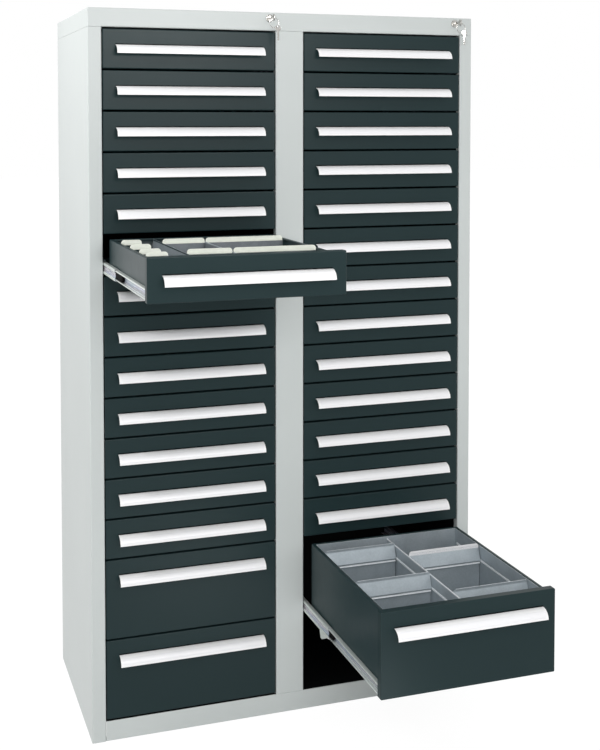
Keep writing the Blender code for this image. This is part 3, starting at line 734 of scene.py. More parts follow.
def lock_place(word):
    low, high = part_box(f"lock_plug_{word}")
    return (low.x + high.x) / 2, (low.z + high.z) / 2


def stem_of(word, index):
    return f"drawer_{word}_{index:02d}"


def front_box(stem):
    """The corners of a drawer's front: a shut drawer is one node, an open one has its own front."""
    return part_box(stem if stem in frame["nodes"] else stem + "_front")


# Carcass


def sheet_mesh(name, path, axis, low, high, materials, side=1):
    """A sheet of the carcass, folded along a path and pushed along an axis from low to high."""
    outline = mirrored(folded(rounded(path, FOLD_RADIUS), CARCASS_SHEET), side)
    return extruded(name, outline, axis, low, high, materials, EDGE_ROUND)


def carcass(name, mesh, *nodes):
    piece(name, mesh, "cabinet", replaces=nodes)


def side_skin(word, side):
    """Skin, front stile with its return lip, and the back flange, folded from one sheet."""
    path = [
        (HALF_WIDTH - SIDE_STILE, FRONT + STILE_LIP),
        (HALF_WIDTH - SIDE_STILE, FRONT),
        (HALF_WIDTH, FRONT),
        (HALF_WIDTH, BACK),
        (HALF_WIDTH - BACK_FLANGE, BACK),
    ]
    name = f"{word}_side_skin"
    mesh = sheet_mesh(name, path, "z", 0, OPENING_TOP - FIT, [CARCASS, PAINTED_SHADE], side)
    # Painted shade: the skin's inner face is drawn near black
    inside = HALF_WIDTH - CARCASS_SHEET - FIT
    paint(mesh, 1, lambda place, normal: abs(place.x) > inside and normal.x * side < -FACING)
    carcass(name, mesh, f"{word}_side_panel")


def post_skin():
    """The stile between the columns, a channel that opens to the back."""
    half = CENTRE_STILE / 2
    path = [(-half, FRONT + STILE_LIP), (-half, FRONT), (half, FRONT), (half, FRONT + STILE_LIP)]
    mesh = sheet_mesh("centre_post_skin", path, "z", BASE_HEIGHT + FIT, OPENING_TOP - FIT, [CARCASS])
    carcass("centre_post_skin", mesh, "centre_post")


def base_skin():
    """Plinth and floor sheet of the base, with a bearer under them and wings to the skins."""
    half = HALF_WIDTH - SIDE_STILE - FIT
    rear = BACK_FACE - FIT
    under = BASE_HEIGHT - CARCASS_SHEET
    path = [(rear - BASE_FLANGE, 0), (rear, 0), (rear, BASE_HEIGHT), (FRONT, BASE_HEIGHT),
            (FRONT, 0), (FRONT + BASE_FLANGE, 0)]
    mesh = sheet_mesh("base_skin", path, "x", -half, half, [CARCASS, PAINTED_SHADE])
    # Painted shade: the floor sheet's top is drawn near black
    paint(mesh, 1, lambda place, normal: normal.z > FACING and place.z > under)
    carcass("base_skin", mesh, "base_pan")
    # Painted shade: the bearer and the wings are drawn near black
    bm = bmesh.new()
    bearer = [(-BEARER_WIDTH / 2, under - FIT), (-BEARER_WIDTH / 2, 0),
              (BEARER_WIDTH / 2, 0), (BEARER_WIDTH / 2, under - FIT)]
    add_prism(bm, folded(bearer, CARCASS_SHEET), "y", FRONT + BEARER_END_GAP, rear - BEARER_END_GAP)
    for side in (-1, 1):
        ends = sorted((side * (half + FIT), side * (HALF_WIDTH - CARCASS_SHEET - FIT)))
        add_block(bm, (ends[0], FRONT + STILE_LIP + FIT, under), (ends[1], rear, BASE_HEIGHT))
    carcass("base_bearer", dressed("base_bearer", bm, [PAINTED_SHADE]))


def cover_ring(inset, z, fold=None):
    """One level of the cover's outline: rounded corners, and extra points in the front edge.

    inset is (side, end). fold is the level's (down, across) place in the fascia's lower fold,
    as shares of its radius. It is wide over the openings, and nearly sharp at the stiles.
    """
    if fold:
        down, across = fold
        inset = (SEAM_ROUND * across, SEAM_ROUND * across)
        z = OPENING_TOP + SEAM_ROUND * down
    x = HALF_WIDTH - inset[0]
    y = (BACK - FRONT) / 2 - inset[1]
    front = []
    for column, edge in ((-1, -1), (-1, 1), (1, -1), (1, 1)):
        for beyond, radius in ((0, FOLD_RADIUS), (SEAM_ROUND, SEAM_ROUND)):
            stop = column * COLUMN_X + edge * (OPENING_WIDTH / 2 + beyond)
            if fold:
                front.append((stop, FRONT + radius * across, OPENING_TOP + radius * down))
            else:
                front.append((stop, -y, z))
    outline = rounded_rectangle(-x, x, -y, y, max(FOLD_RADIUS - min(inset), EDGE_ROUND))
    return sorted(front) + [(px, py, z) for px, py in outline]


def cover_skin():
    """Cap with the fascia, its lower fold rolled in over the openings, and the lock holes."""
    rings = []
    for across, down in quarter():
        rings.append(cover_ring((FOLD_RADIUS * across,) * 2, CABINET_TOP - FOLD_RADIUS * down))
    rings += [cover_ring((0, 0), 0, fold) for fold in quarter()]
    lip = (COVER_SIDE_LIP, STILE_LIP)
    sheet = (CARCASS_SHEET, CARCASS_SHEET)
    inner = OPENING_TOP + CARCASS_SHEET
    for inset, z in ((lip, OPENING_TOP), (lip, inner), (sheet, inner),
                     (sheet, CABINET_TOP - CARCASS_SHEET)):
        rings.append(cover_ring(inset, z))
    bm = bmesh.new()
    add_rings(bm, rings)
    holes = []
    for word in ("left", "right"):
        hole = bmesh.new()
        start = FRONT - CARCASS_SHEET
        add_turned(hole, [(start, PLUG_RADIUS + FIT), (start + 3 * CARCASS_SHEET, PLUG_RADIUS + FIT)],
                   lock_place(word))
        holes.append(hole)
    mesh = dressed("cover_skin", bm, [CARCASS, PAINTED_SHADE], 0, holes)
    # Painted shade: the cap's underside is drawn near black
    under = CABINET_TOP - 2 * CARCASS_SHEET
    paint(mesh, 1, lambda place, normal: normal.z < -FACING and place.z > under)
    carcass("cover_skin", mesh, "top_cover")


def back_skin():
    """The back sheet with upright ribs pressed inwards, its inner face near black as painted shade,
    and rivets along its edges.
    """
    low, high = back_low, back_high
    path = [(high.x, high.y)]
    for share in reversed(BACK_RIB_PLACE_SHARES):
        middle = share * high.x
        half = BACK_RIB_WIDTH / 2
        rib = high.y - BACK_RIB_DEPTH
        path += [(middle + half + BACK_RIB_SLOPE, high.y), (middle + half, rib),
                 (middle - half, rib), (middle - half - BACK_RIB_SLOPE, high.y)]
    path.append((low.x, high.y))
    outline = folded(rounded(path, FOLD_RADIUS / 2, FINE_FOLD_STEPS), -(high.y - low.y))
    mesh = extruded("back_skin", outline, "z", low.z, high.z, [CARCASS, PAINTED_SHADE], EDGE_ROUND)
    # Painted shade: the faces towards the inside are drawn near black
    paint(mesh, 1, lambda place, normal: normal.y < -BACK_RIB_SLANT)
    carcass("back_skin", mesh, "back_panel")
    bm = bmesh.new()
    for side in (-1, 1):
        for i in range(RIVET_COUNT):
            z = CABINET_TOP * (i + 0.5) / RIVET_COUNT
            dome = [(BACK + RIVET_HEIGHT * y, RIVET_RADIUS * radius) for y, radius in RIVET_DOME]
            add_turned(bm, dome, (side * (HALF_WIDTH - BACK_FLANGE / 2), z), RIVET_STEPS)
    piece("back_rivets", dressed("back_rivets", bm, [BRIGHT_ZINC_AND_HIGHLIGHT]), "cabinet")


def runner_frames():
    """Uprights drawn near black as painted shade, and a bright rail for each drawer, at both sides of
    both columns.
    """
    foot = BASE_HEIGHT + FIT
    head = OPENING_TOP - UPRIGHT_HEAD_GAP
    outer = SIDE_STILE - CARCASS_SHEET - FIT
    inner = CENTRE_STILE / 2 - FIT
    for column, word, count in COLUMNS:
        for side, low_word in SIDES:
            node = f"runner_frame_{word}_column_{low_word}"
            plane = column * COLUMN_X - side * OPENING_WIDTH / 2
            depth = outer if side == -column else inner
            bm = bmesh.new()
            for y in (FRONT + UPRIGHT_SETBACK, BACK_FACE - REAR_UPRIGHT_GAP - UPRIGHT_DEPTH):
                path = [(-depth, y), (0, y), (0, y + UPRIGHT_DEPTH), (-depth, y + UPRIGHT_DEPTH)]
                add_prism(bm, mirrored(folded(path, UPRIGHT_SHEET), side), "z", foot, head)
            # Painted shade: the uprights are drawn near black
            mesh = dressed(f"uprights_{word}_column_{low_word}", bm, [PAINTED_SHADE], EDGE_ROUND)
            piece(mesh.name, mesh, "cabinet", (plane, 0, 0), [node])
            outline = member_outline(-WELD, CABINET_MEMBER_REACH, CABINET_MEMBER_HEIGHT, side)
            bm = bmesh.new()
            for index in range(1, count + 1):
                rise = front_box(stem_of(word, index))[0].z + SLIDE_RISE
                add_prism(bm, [(u, v + rise) for u, v in outline], "y",
                          FRONT + CABINET_MEMBER_SETBACK, FRONT + MEMBER_END)
            mesh = dressed(f"rails_{word}_column_{low_word}", bm, [ZINC])
            piece(mesh.name, mesh, "cabinet", (plane, 0, 0), [node])


# Drawer parts, made about the middle of the front's bottom edge, with the face at y = 0


def pan_ring(inset, y, height):
    x = FRONT_WIDTH / 2 - inset
    outline = rounded_rectangle(-x, x, inset, height - inset, max(PAN_CORNER - inset, EDGE_ROUND))
    return [(u, y, v) for u, v in outline]


def front_mesh(height):
    """The front: a pan with rolled edges and a return flange, closed by a plate at its back."""
    levels = [(PAN_RADIUS * across, PAN_RADIUS * back) for across, back in quarter()]
    levels += [(0, PAN_DEPTH), (PAN_SHEET, PAN_DEPTH), (PAN_SHEET, PAN_SHEET)]
    bm = bmesh.new()
    add_rings(bm, [pan_ring(inset, y, height) for inset, y in levels])
    gap = PAN_SHEET + FIT
    x = FRONT_WIDTH / 2 - gap
    plate = rounded_rectangle(-x, x, gap, height - gap, PAN_CORNER - gap)
    add_prism(bm, plate, "y", PAN_DEPTH - PAN_SHEET - FIT, PAN_DEPTH - FIT)
    return dressed(f"front_{round(height / MM)}", bm, [ANTHRACITE], EDGE_ROUND / 2)


def box_ring(inset, front_inset, z):
    """One level of the box, with its walls moved in by inset and its front by front_inset."""
    x = BOX_WIDTH / 2 - inset
    corner = max(BOX_CORNER - inset, EDGE_ROUND)
    outline = rounded_rectangle(-x, x, PAN_DEPTH + FIT + front_inset, BOX_END - inset, corner)
    return [(u, v, z) for u, v in outline]


def box_mesh(height):
    """The tray: rolled top edges with a rim turned in along the walls, and a lip under it."""
    low = BOX_LIFT
    top = height - BOX_DROP
    fold = quarter(FOLD_STEPS // 2)
    levels = [(BOX_FOLD * across, BOX_FOLD * across, low + BOX_FOLD * up) for across, up in fold]
    levels += [(BOX_FOLD * across, BOX_FOLD * across, top - BOX_FOLD * down) for down, across in fold]
    lip = (BOX_RIM - BOX_SHEET, BOX_FRONT_RIM - BOX_SHEET / 2)
    levels += [(BOX_RIM, BOX_FRONT_RIM, top), (BOX_RIM, BOX_FRONT_RIM, top - BOX_RIM_LIP),
               (*lip, top - BOX_RIM_LIP), (*lip, top - BOX_SHEET),
               (BOX_SHEET, BOX_SHEET, top - BOX_SHEET), (BOX_SHEET, BOX_SHEET, low + BOX_SHEET)]
    return ringed(f"box_{round(height / MM)}", [box_ring(*level) for level in levels], [BOX_PAINT])


def handle_curve(offset, start_share, end_share, steps=HANDLE_STEPS):
    """Points down the handle's quarter ellipse, moved in from its outer face by offset."""
    points = []
    for i in range(steps + 1):
        t = math.pi / 2 * (start_share + (end_share - start_share) * i / steps)
        points.append((-(HANDLE_REACH - offset) * math.sin(t),
                       (HANDLE_HEIGHT - offset) * math.cos(t)))
    return points


def handle_mesh():
    """The strip handle, about the lower edge of its face, under a black strip that is a painted shadow
    line.
    """
    start = math.asin(HANDLE_SHEET / (HANDLE_REACH - HANDLE_SHEET)) / (math.pi / 2)
    outline = handle_curve(0, 0, 1) + handle_curve(HANDLE_SHEET, start, 1)[::-1]
    outline.append((0, HANDLE_HEIGHT - HANDLE_SHEET))
    half = HANDLE_LENGTH / 2
    bm = bmesh.new()
    add_prism(bm, outline, "x", -half, half)
    mesh = dressed("handle", bm, [WHITE, BLACK], HANDLE_EDGE)
    bm = bmesh.new()
    inset = half - HANDLE_FLANGE_INSET
    add_block(bm, (-inset, -HANDLE_SHEET, HANDLE_HEIGHT - HANDLE_FLANGE),
              (inset, 0, HANDLE_HEIGHT - HANDLE_SHEET))
    # Painted shadow: a thin black strip just above the handle stands for the shadow line there
    add_block(bm, (-half, -SHADOW_LINE_SHEET, HANDLE_HEIGHT), (half, 0, HANDLE_HEIGHT + SHADOW_LINE_HEIGHT))
    for face in bm.faces:
        face.material_index = 1 if face.calc_center_median().z > HANDLE_HEIGHT - FIT else 0
    bm.from_mesh(mesh)
    bm.to_mesh(mesh)
    bm.free()
    return mesh


def label_mesh():
    """The label strip, with round ends, that lies on the handle's face."""
    half = HANDLE_LENGTH / 2 - LABEL_INSET
    bm = bmesh.new()
    rings = []
    for offset in (-LABEL_SHEET, LABEL_SHEET):
        curve = handle_curve(offset, LABEL_START_SHARE, LABEL_END_SHARE, LABEL_ROWS)
        end = []
        for k, point in enumerate(curve):
            across = abs(2 * k / LABEL_ROWS - 1)
            cut = LABEL_ROUND * (1 - math.sqrt(max(0, 1 - across ** LABEL_ROUND_POWER)))
            end.append((half - cut, *point))
        rings.append([(-x, y, z) for x, y, z in end] + end[::-1])
    for loop in add_loops(bm, rings):
        for k in range(LABEL_ROWS):
            bm.faces.new((loop[k], loop[k + 1], loop[-2 - k], loop[-1 - k]))
    return dressed("label", bm, [PAPER])


def member_outline(web, reach, height, side, raceway=0.0):
    """A slide member's section: a web, two flanges towards reach, and lips along their edges.

    raceway is how far the middle of the web is pressed in towards reach.
    """
    half = height / 2
    low_half = [(reach, MEMBER_LIP - half), (reach, -half), (web, -half)]
    if raceway:
        floor = web + raceway
        low_half += [(web, -RACEWAY_HALF - RACEWAY_SLOPE), (floor, -RACEWAY_HALF)]
    path = low_half + [(u, -v) for u, v in reversed(low_half)]
    if reach > web:
        path.reverse()
    return mirrored(folded(rounded(path, MEMBER_FOLD, MEMBER_FOLD_STEPS), SLIDE_SHEET), side)


def drawer_member_mesh(side):
    """The member that is riveted to the box, seen from the front's frame."""
    reach = 2 * SLIDE_SHEET - WELD + 2 * SLIDE_GAP
    outline = member_outline(SLIDE_THICKNESS - FIT / 2, reach, DRAWER_MEMBER_HEIGHT, side)
    plane = -side * OPENING_WIDTH / 2
    outline = [(u + plane, v + SLIDE_RISE) for u, v in outline]
    mesh = extruded(f"drawer_member_{side}", outline, "y", DRAWER_MEMBER_SETBACK, BOX_END,
                    [ZINC, BRIGHT_ZINC_AND_HIGHLIGHT], MEMBER_EDGE)
    # Painted highlight: the flanges and lips are painted in lighter zinc
    edge = DRAWER_MEMBER_HEIGHT / 2 - MEMBER_LIP - FIT
    paint(mesh, 1, lambda place, normal: abs(place.z - SLIDE_RISE) > edge)
    return mesh


def middle_member_mesh(side, tab, trim):
    """The member that carries the drawer's; one of them has a stop tab under it."""
    start = MIDDLE_MEMBER_SETBACK + trim
    bm = bmesh.new()
    web = SLIDE_SHEET - WELD + SLIDE_GAP
    outline = member_outline(web, MIDDLE_MEMBER_REACH, MIDDLE_MEMBER_HEIGHT, side, RACEWAY)
    add_prism(bm, outline, "y", start, MEMBER_END)
    if tab:
        under = -MIDDLE_MEMBER_HEIGHT / 2
        near = start + STOP_TAB_SETBACK
        far = near + STOP_TAB_LENGTH
        foot = far - STOP_TAB_SLOPE
        fin = [(near, under + SLIDE_SHEET / 2), (far, under + SLIDE_SHEET / 2),
               (foot, under - STOP_TAB_DROP), (foot - STOP_TAB_FOOT, under - STOP_TAB_DROP)]
        edges = sorted((side * (MIDDLE_MEMBER_REACH - WELD), side * (MIDDLE_MEMBER_REACH + WELD)))
        add_prism(bm, fin, "x", *edges)
    mesh = dressed(f"middle_member_{side}{'_tab' if tab else ''}", bm, [ZINC, BRIGHT_ZINC_AND_HIGHLIGHT], MEMBER_EDGE)
    # Painted highlight: all but the middle of the web is painted in lighter zinc
    paint(mesh, 1, lambda place, normal: abs(place.z) > RACEWAY_HALF + RACEWAY_SLOPE / 2)
    return mesh


def cage_mesh(side):
    """The black ball cage that runs in the drawer's member, with a blunt tip."""
    def ring(y, low, half):
        section = [(low, -half), (CAGE_HIGH, -half), (CAGE_HIGH, half), (low, half)]
        return [(side * u, y, v) for u, v in section]
    rings = [ring(CAGE_START, (CAGE_LOW + CAGE_HIGH) / 2, CAGE_HALF / 2),
             ring(CAGE_START + CAGE_TIP, CAGE_LOW, CAGE_HALF),
             ring(CAGE_START + CAGE_LENGTH, CAGE_LOW, CAGE_HALF)]
    return ringed(f"cage_{side}", rings, [BLACK], CAGE_EDGE)


meshes = {}


def shared(key, make, *values):
    """A mesh that is made once for each set of values."""
    key = (key, *values)
    if key not in meshes:
        meshes[key] = make(*values)
    return meshes[key]


def drawer(stem, column, tab_side=0, trim=0, lag=0):
    """Front, box, handle, label and slide members of one drawer, shut or pulled out."""
    shut = stem in frame["nodes"]
    low, high = front_box(stem)
    height = round((high.z - low.z) / MM) * MM
    face = FRONT if shut else low.y
    pull = FRONT - face
    origin = Vector(((low.x + high.x) / 2, face, low.z))
    seat = origin + Vector((0, -FIT, height - HANDLE_DROP - HANDLE_HEIGHT))
    front = shared("front", front_mesh, height)
    for part, name, mesh, slot, place in (
        ("_front", "_face" if shut else "_pan", front, "front_anthracite", origin),
        ("_box", "_tray", shared("box", box_mesh, height), "drawer_box", origin),
        ("_handle", "_strip", shared("handle", handle_mesh), "handle_white", seat),
    ):
        piece(stem + name, mesh, stem, place, [stem if shut else stem + part])
    piece(stem + "_label", shared("label", label_mesh), stem, seat)
    for side, word in SIDES:
        piece(f"{stem}_rail_{word}", shared("drawer_member", drawer_member_mesh, side), stem,
              origin)
        place = Vector((column * COLUMN_X - side * OPENING_WIDTH / 2, FRONT, low.z + SLIDE_RISE))
        mesh = shared("middle_member", middle_member_mesh, side, side == tab_side, trim)
        middle = place - Vector((0, MIDDLE_SHARE * pull, 0))
        if shut:
            follower(f"{stem}_middle_{word}", mesh, middle)
        else:
            node = f"{stem}_slide_{word}"
            piece(f"{stem}_middle_{word}", mesh, node, middle, [node])
        follower(f"{stem}_cage_{word}", shared("cage", cage_mesh, side),
                 place - Vector((0, CAGE_SHARE * pull - lag, 0)))
    return origin, height


def follower(name, mesh, place):
    """A rigid slide piece, placed a share of its drawer's way out.
    """
    obj = placed(name, mesh.copy(), place)
    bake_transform(obj)


def build_drawers():
    for column, word, count in COLUMNS:
        for index in range(1, count + 1):
            stem = stem_of(word, index)
            if stem in frame["nodes"]:
                drawer(stem, column)
            elif stem + "_long_divider" in frame["nodes"]:
                origin, height = drawer(stem, column, 1, TALL_MEMBER_TRIM, TALL_CAGE_LAG)
                liner(stem, origin, height)
                tall_dividers(stem, origin, height)
            else:
                shallow_dividers(stem, *drawer(stem, column, 0, SHALLOW_MEMBER_TRIM))


# Inside the open drawers, in the drawer's own frame


def add_bead(bm, x, side, z):
    """A row of pressed dashes along Y on a wall at x, standing out to side."""
    pitch = BEAD_LENGTH + BEAD_GAP
    count = int((INNER_FAR - INNER_NEAR) / pitch)
    start = (INNER_NEAR + INNER_FAR - count * pitch + BEAD_GAP) / 2
    proud = x + side * BEAD_PROUD
    crest = BEAD_HALF - BEAD_PROUD
    section = [(x, z - BEAD_HALF), (proud, z - crest), (proud, z + crest), (x, z + BEAD_HALF)]
    for i in range(count):
        y = start + i * pitch
        add_prism(bm, section, "y", y, y + BEAD_LENGTH)


def liner(stem, origin, height):
    """A galvanised tub just inside the box's rim, with rows of pressed dashes along its side walls."""
    low = BOX_LIFT + BOX_SHEET + FIT
    top = height - BOX_DROP - LINER_DROP
    inset = LINER_INSET
    front = BOX_FRONT_RIM + FIT
    inner = (inset + LINER_SHEET, front + LINER_SHEET)
    levels = ((inset, front, low), (inset, front, top), (*inner, top), (*inner, low + LINER_SHEET))
    rings = [box_ring(*level) for level in levels]
    mesh = ringed(stem + "_liner", rings, [GALVANISED, HIGHLIGHT_SHEET], SHEET_EDGE)
    # Painted highlight: the top edge is painted lighter
    paint(mesh, 1, lambda place, normal: place.z > top - PAINTED_HIGHLIGHT_EDGE)
    piece(stem + "_liner", mesh, stem, origin)
    bm = bmesh.new()
    for side in (-1, 1):
        add_bead(bm, side * INNER_HALF, -side, top - BEAD_DROP)
    # Painted highlight: the pressed dashes are painted lighter
    piece(stem + "_bead", dressed(stem + "_bead", bm, [HIGHLIGHT_SHEET]), stem, origin)


def add_hemmed_sheet(bm, x, low, top):
    """An upright sheet about x, from the front wall to the back one, with a rounded hem on top."""
    near, far = INNER_NEAR + FIT, INNER_FAR - FIT
    half = DIVIDER_SHEET / 2
    add_block(bm, (x - half, near, low), (x + half, far, top - HEM_HEIGHT))
    outline = [(x - HEM_HALF, top - HEM_HEIGHT), (x + HEM_HALF, top - HEM_HEIGHT)]
    outline += [(x + u, top - HEM_HALF + v) for u, v in arc((0, 0), HEM_HALF, 0, 2, HEM_STEPS)]
    add_prism(bm, outline, "y", near, far)


def corner_cut(z, top, radius):
    """How far a round upper corner draws an edge in at a height."""
    over = max(0.0, z - (top - radius))
    return radius - math.sqrt(max(0.0, radius ** 2 - over ** 2))


def tab_mesh(name, length, rise, material):
    """A ribbed label tab with round upper corners, about the middle of its lower edge."""
    step = (rise - TAB_CORNER) / TAB_RIBS
    groove = TAB_HALF - TAB_RIB
    levels = []
    for i in range(TAB_RIBS):
        low = step * i
        levels += [(low, TAB_HALF), (low + step * TAB_RIB_SHARE, TAB_HALF),
                   (low + step * TAB_GROOVE_SHARE, groove), (low + step - TAB_RIB_STEP, groove)]
    for i, (down, _) in enumerate(quarter(TAB_CORNER_STEPS)):
        levels.append((rise - TAB_CORNER * down, groove if i % 2 else TAB_HALF))
    rings = []
    for z, thick in levels:
        end = length / 2 - corner_cut(z, rise, TAB_CORNER)
        rings.append([(-end, -thick, z), (end, -thick, z), (end, thick, z), (-end, thick, z)])
    return ringed(name, rings, [material], TAB_EDGE)


def shallow_dividers(stem, origin, height):
    """Two long sheets; narrow plates with small tabs, and wide plates with long ones."""
    low = INNER_FLOOR
    high = height - BOX_DROP - BOX_SHEET - FIT
    edge = high - HEM_HEIGHT
    half = BOX_WIDTH / 2 - BOX_RIM - FIT
    first = -BOX_WIDTH / 2 + BOX_SHEET + FIT + SHALLOW_SECTION
    second = first + DIVIDER_SHEET + SHALLOW_SECTION
    foot = -half + NARROW_TAB_WIDTH
    beside = DIVIDER_SHEET + FIT
    groups = (
        ("narrow", first, NARROW_PLATE_PLACES,
         [(-half, foot, high), (foot, first - FIT, high - NARROW_PLATE_STEP)], [(-half, foot)]),
        ("wide", second, WIDE_PLATE_PLACES,
         [(first + beside, second - FIT, high), (second + beside, half, high)],
         [(first + 2 * DIVIDER_SHEET, second - DIVIDER_SHEET),
          (second + 2 * DIVIDER_SHEET, half - DIVIDER_SHEET)]),
    )
    for word, sheet, places, plates, tabs in groups:
        bm = bmesh.new()
        add_hemmed_sheet(bm, sheet + DIVIDER_SHEET / 2, low, high)
        for y in places:
            for start, end, top in plates:
                add_block(bm, (start, y, low), (end, y + DIVIDER_SHEET, top))
        name = f"{stem}_{word}_sheets"
        mesh = dressed(name, bm, [SHADED_SHEET, GALVANISED, BOX_PAINT], SHEET_EDGE)
        # Painted shade: below the hems the wide sheets take the darker copy of the galvanised sheet,
        # and the narrow plates the box's dark paint
        paint(mesh, 1, lambda place, normal: place.z > edge or place.x < second - FIT)
        if word == "narrow":
            paint(mesh, 2, lambda place, normal: place.x < first - FIT / 2)
        else:
            paint(mesh, 0, lambda place, normal: place.z < edge)
        piece(name, mesh, stem, origin, [f"{stem}_{word}_divider"])
        spots = [(y, *tab) for y in places for tab in tabs]
        for number, (y, start, end) in enumerate(spots, 1):
            mesh = shared("tab", lambda length: tab_mesh("tab", length, TAB_RISE + TAB_OVERLAP, CREAM),
                          round((end - start) / MM) * MM)
            place = Vector(((start + end) / 2, y + DIVIDER_SHEET / 2, high - TAB_OVERLAP))
            piece(f"{stem}_{word}_tab_{number}", mesh, stem, origin + place)


def leaner_path(y, low, high):
    """Side view of a cross divider: upright, two small steps with a slot between, then leaning."""
    bend = high - LEANER_BEND
    back = y - LEANER_STEP
    top = back + LEANER_LEAN
    hem = high - LEANER_HEM
    corner = []
    for down, _ in quarter(LEANER_CORNER_STEPS)[1:]:
        z = high - LEANER_CORNER * down
        if z < hem:
            corner.append((back + LEANER_LEAN * (z - bend) / (hem - bend), z))
        elif not corner or corner[-1][1] < hem:
            corner += [(top, hem), (top, z)]
        else:
            corner.append((top, z))
    path = [(y, low)] + [(y - step, bend + rise) for step, rise in LEANER_STEPS]
    start = high - LEANER_CORNER
    path.append((back + LEANER_LEAN * (start - bend) / (hem - bend), start))
    return path, corner


def leaner_mesh(name, x_low, x_high, y, low, high):
    path, corner = leaner_path(y, low, high)
    points = rounded(path, LEANER_FOLD, FINE_FOLD_STEPS) + [Vector(p) for p in corner]
    outline = folded(points, DIVIDER_SHEET)
    rings = []
    for point, near, far in zip(points, outline, outline[::-1]):
        left = x_low + corner_cut(point.y, high, LEANER_CORNER)
        right = x_high - corner_cut(point.y, high, LEANER_SQUARE_CORNER)
        rings.append([(left, *near), (right, *near), (right, *far), (left, *far)])
    mesh = ringed(name, rings, [GALVANISED, HIGHLIGHT_SHEET], SHEET_EDGE)
    # Painted highlight: the top edge and the upward faces in the band about the bend are painted
    # lighter
    bead_low, bead_high = (high - LEANER_BEND + step for step in LEANER_BEAD)
    paint(mesh, 1, lambda place, normal: place.z > high - LEANER_PAINTED_HIGHLIGHT_TOP
          or bead_low < place.z < bead_high and normal.z > LEANER_BEAD_SLANT)
    return mesh


def tall_dividers(stem, origin, height):
    """The long divider with its beads, and four leaning cross dividers."""
    low = INNER_FLOOR
    high = height - BOX_DROP - LONG_DIVIDER_DROP
    half_sheet = DIVIDER_SHEET / 2
    bm = bmesh.new()
    add_hemmed_sheet(bm, 0, low, high)
    for side in (-1, 1):
        add_bead(bm, side * half_sheet, side, height - BOX_DROP - LINER_DROP - BEAD_DROP)
    name = stem + "_long_sheet"
    mesh = dressed(name, bm, [GALVANISED, HIGHLIGHT_SHEET], HEMMED_SHEET_EDGE)
    # Painted highlight: the beads' proud faces and the hem are painted lighter
    edge = half_sheet + BEAD_PROUD / 3
    paint(mesh, 1, lambda place, normal: abs(place.x) > edge or place.z > high - HEM_HEIGHT)
    piece(name, mesh, stem, origin, [stem + "_long_divider"])
    top = height - BOX_DROP - LEANER_DROP
    inner = INNER_HALF - BEAD_PROUD - FIT
    middle = half_sheet + BEAD_PROUD + FIT
    for word, x_low, x_high in (("left", -inner, -middle), ("right", middle, inner)):
        for place_word in ("front", "back"):
            node = f"{stem}_cross_divider_{word}_{place_word}"
            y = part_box(node)[0].y - origin.y + LEANER_STEP
            name = node.replace("divider", "plate")
            mesh = leaner_mesh(name, x_low, x_high, y, low, top)
            piece(name, mesh, stem, origin, [node])
            if (word, place_word) == ("right", "back"):
                rise = LEANER_LABEL_RISE + LEANER_LABEL_DROP
                label = tab_mesh(name + "_label", x_high - x_low, rise, PAPER)
                place = Vector(((x_low + x_high) / 2, y - LEANER_STEP + LEANER_LEAN,
                                top - LEANER_LABEL_DROP))
                piece(name + "_label", label, stem, origin + place)


# Locks


def plug_mesh(name, place):
    """The cylinder: a rimmed collar in front of the fascia, and the crank disc with its pin."""
    x, z = place
    front = FRONT - COLLAR_DEPTH - FIT
    face = front + COLLAR_RIM
    crank = FRONT + CRANK_START
    disc = crank + CRANK_DEPTH
    bm = bmesh.new()
    add_turned(bm, [
        (face, PLUG_FACE_RADIUS), (front + COLLAR_RIM / 2, PLUG_FACE_RADIUS + COLLAR_RIM / 2),
        (front, COLLAR_RADIUS - COLLAR_RIM), (front + COLLAR_RIM / 3, COLLAR_RADIUS - COLLAR_RIM / 3),
        (face, COLLAR_RADIUS), (FRONT - FIT, COLLAR_RADIUS), (FRONT - FIT, PLUG_RADIUS),
        (crank, PLUG_RADIUS), (crank, CRANK_RADIUS), (disc, CRANK_RADIUS),
    ], place)
    pin = CRANK_PIN_OFFSET * math.sqrt(0.5)
    add_turned(bm, [(disc, CRANK_PIN_RADIUS), (FRONT + CRANK_PIN_END, CRANK_PIN_RADIUS)],
               (x + pin, z + pin), CRANK_PIN_STEPS)
    boss = zip((face - 2 * FIT, face), PLUG_BOSS_SHARES)
    add_turned(bm, [(y, PLUG_FACE_RADIUS * share) for y, share in boss], place, PLUG_BOSS_STEPS)
    return dressed(name, bm, [CHROME], SHEET_EDGE)


def key_outlines(blade, notched):
    """A key in X and Y: a round bow about the origin, a blade along X, and the ring's hole."""
    share = math.asin(KEY_BLADE_HALF / KEY_BOW_RADIUS) / (math.pi / 2)
    outline = arc((0, 0), KEY_BOW_RADIUS, share, 4 - share, KEY_BOW_STEPS)
    end = KEY_BOW_RADIUS + blade
    start = end - KEY_TIP
    back, deep, peak = [KEY_BLADE_HALF * part for part in KEY_EDGE_SHARES]
    outline += [(start, -KEY_BLADE_HALF), (end, 0), (start, back)]
    notch = blade * KEY_NOTCH_SHARE
    for i in range(KEY_NOTCHES if notched else 0):
        x = start - notch * (i + 0.5)
        outline += [(x, deep if i % 2 else back), (x - notch / 2, peak)]
    outline.append((KEY_BOW_RADIUS + KEY_BLADE_HALF, KEY_BLADE_HALF))
    hole = [(x - KEY_HOLE_OFFSET, y) for x, y in circle(KEY_HOLE_RADIUS, KEY_HOLE_STEPS)]
    return [outline, hole]


def ring_mesh(name):
    """The wire ring, hanging in the XZ plane about its centre."""
    wire = circle(RING_WIRE, RING_WIRE_STEPS)
    bm = bmesh.new()
    add_loops(bm, [[((RING_RADIUS + a) * u, b, (RING_RADIUS + a) * v) for a, b in wire]
                   for u, v in circle(1)], closed=True)
    return dressed(name, bm, [CHROME])


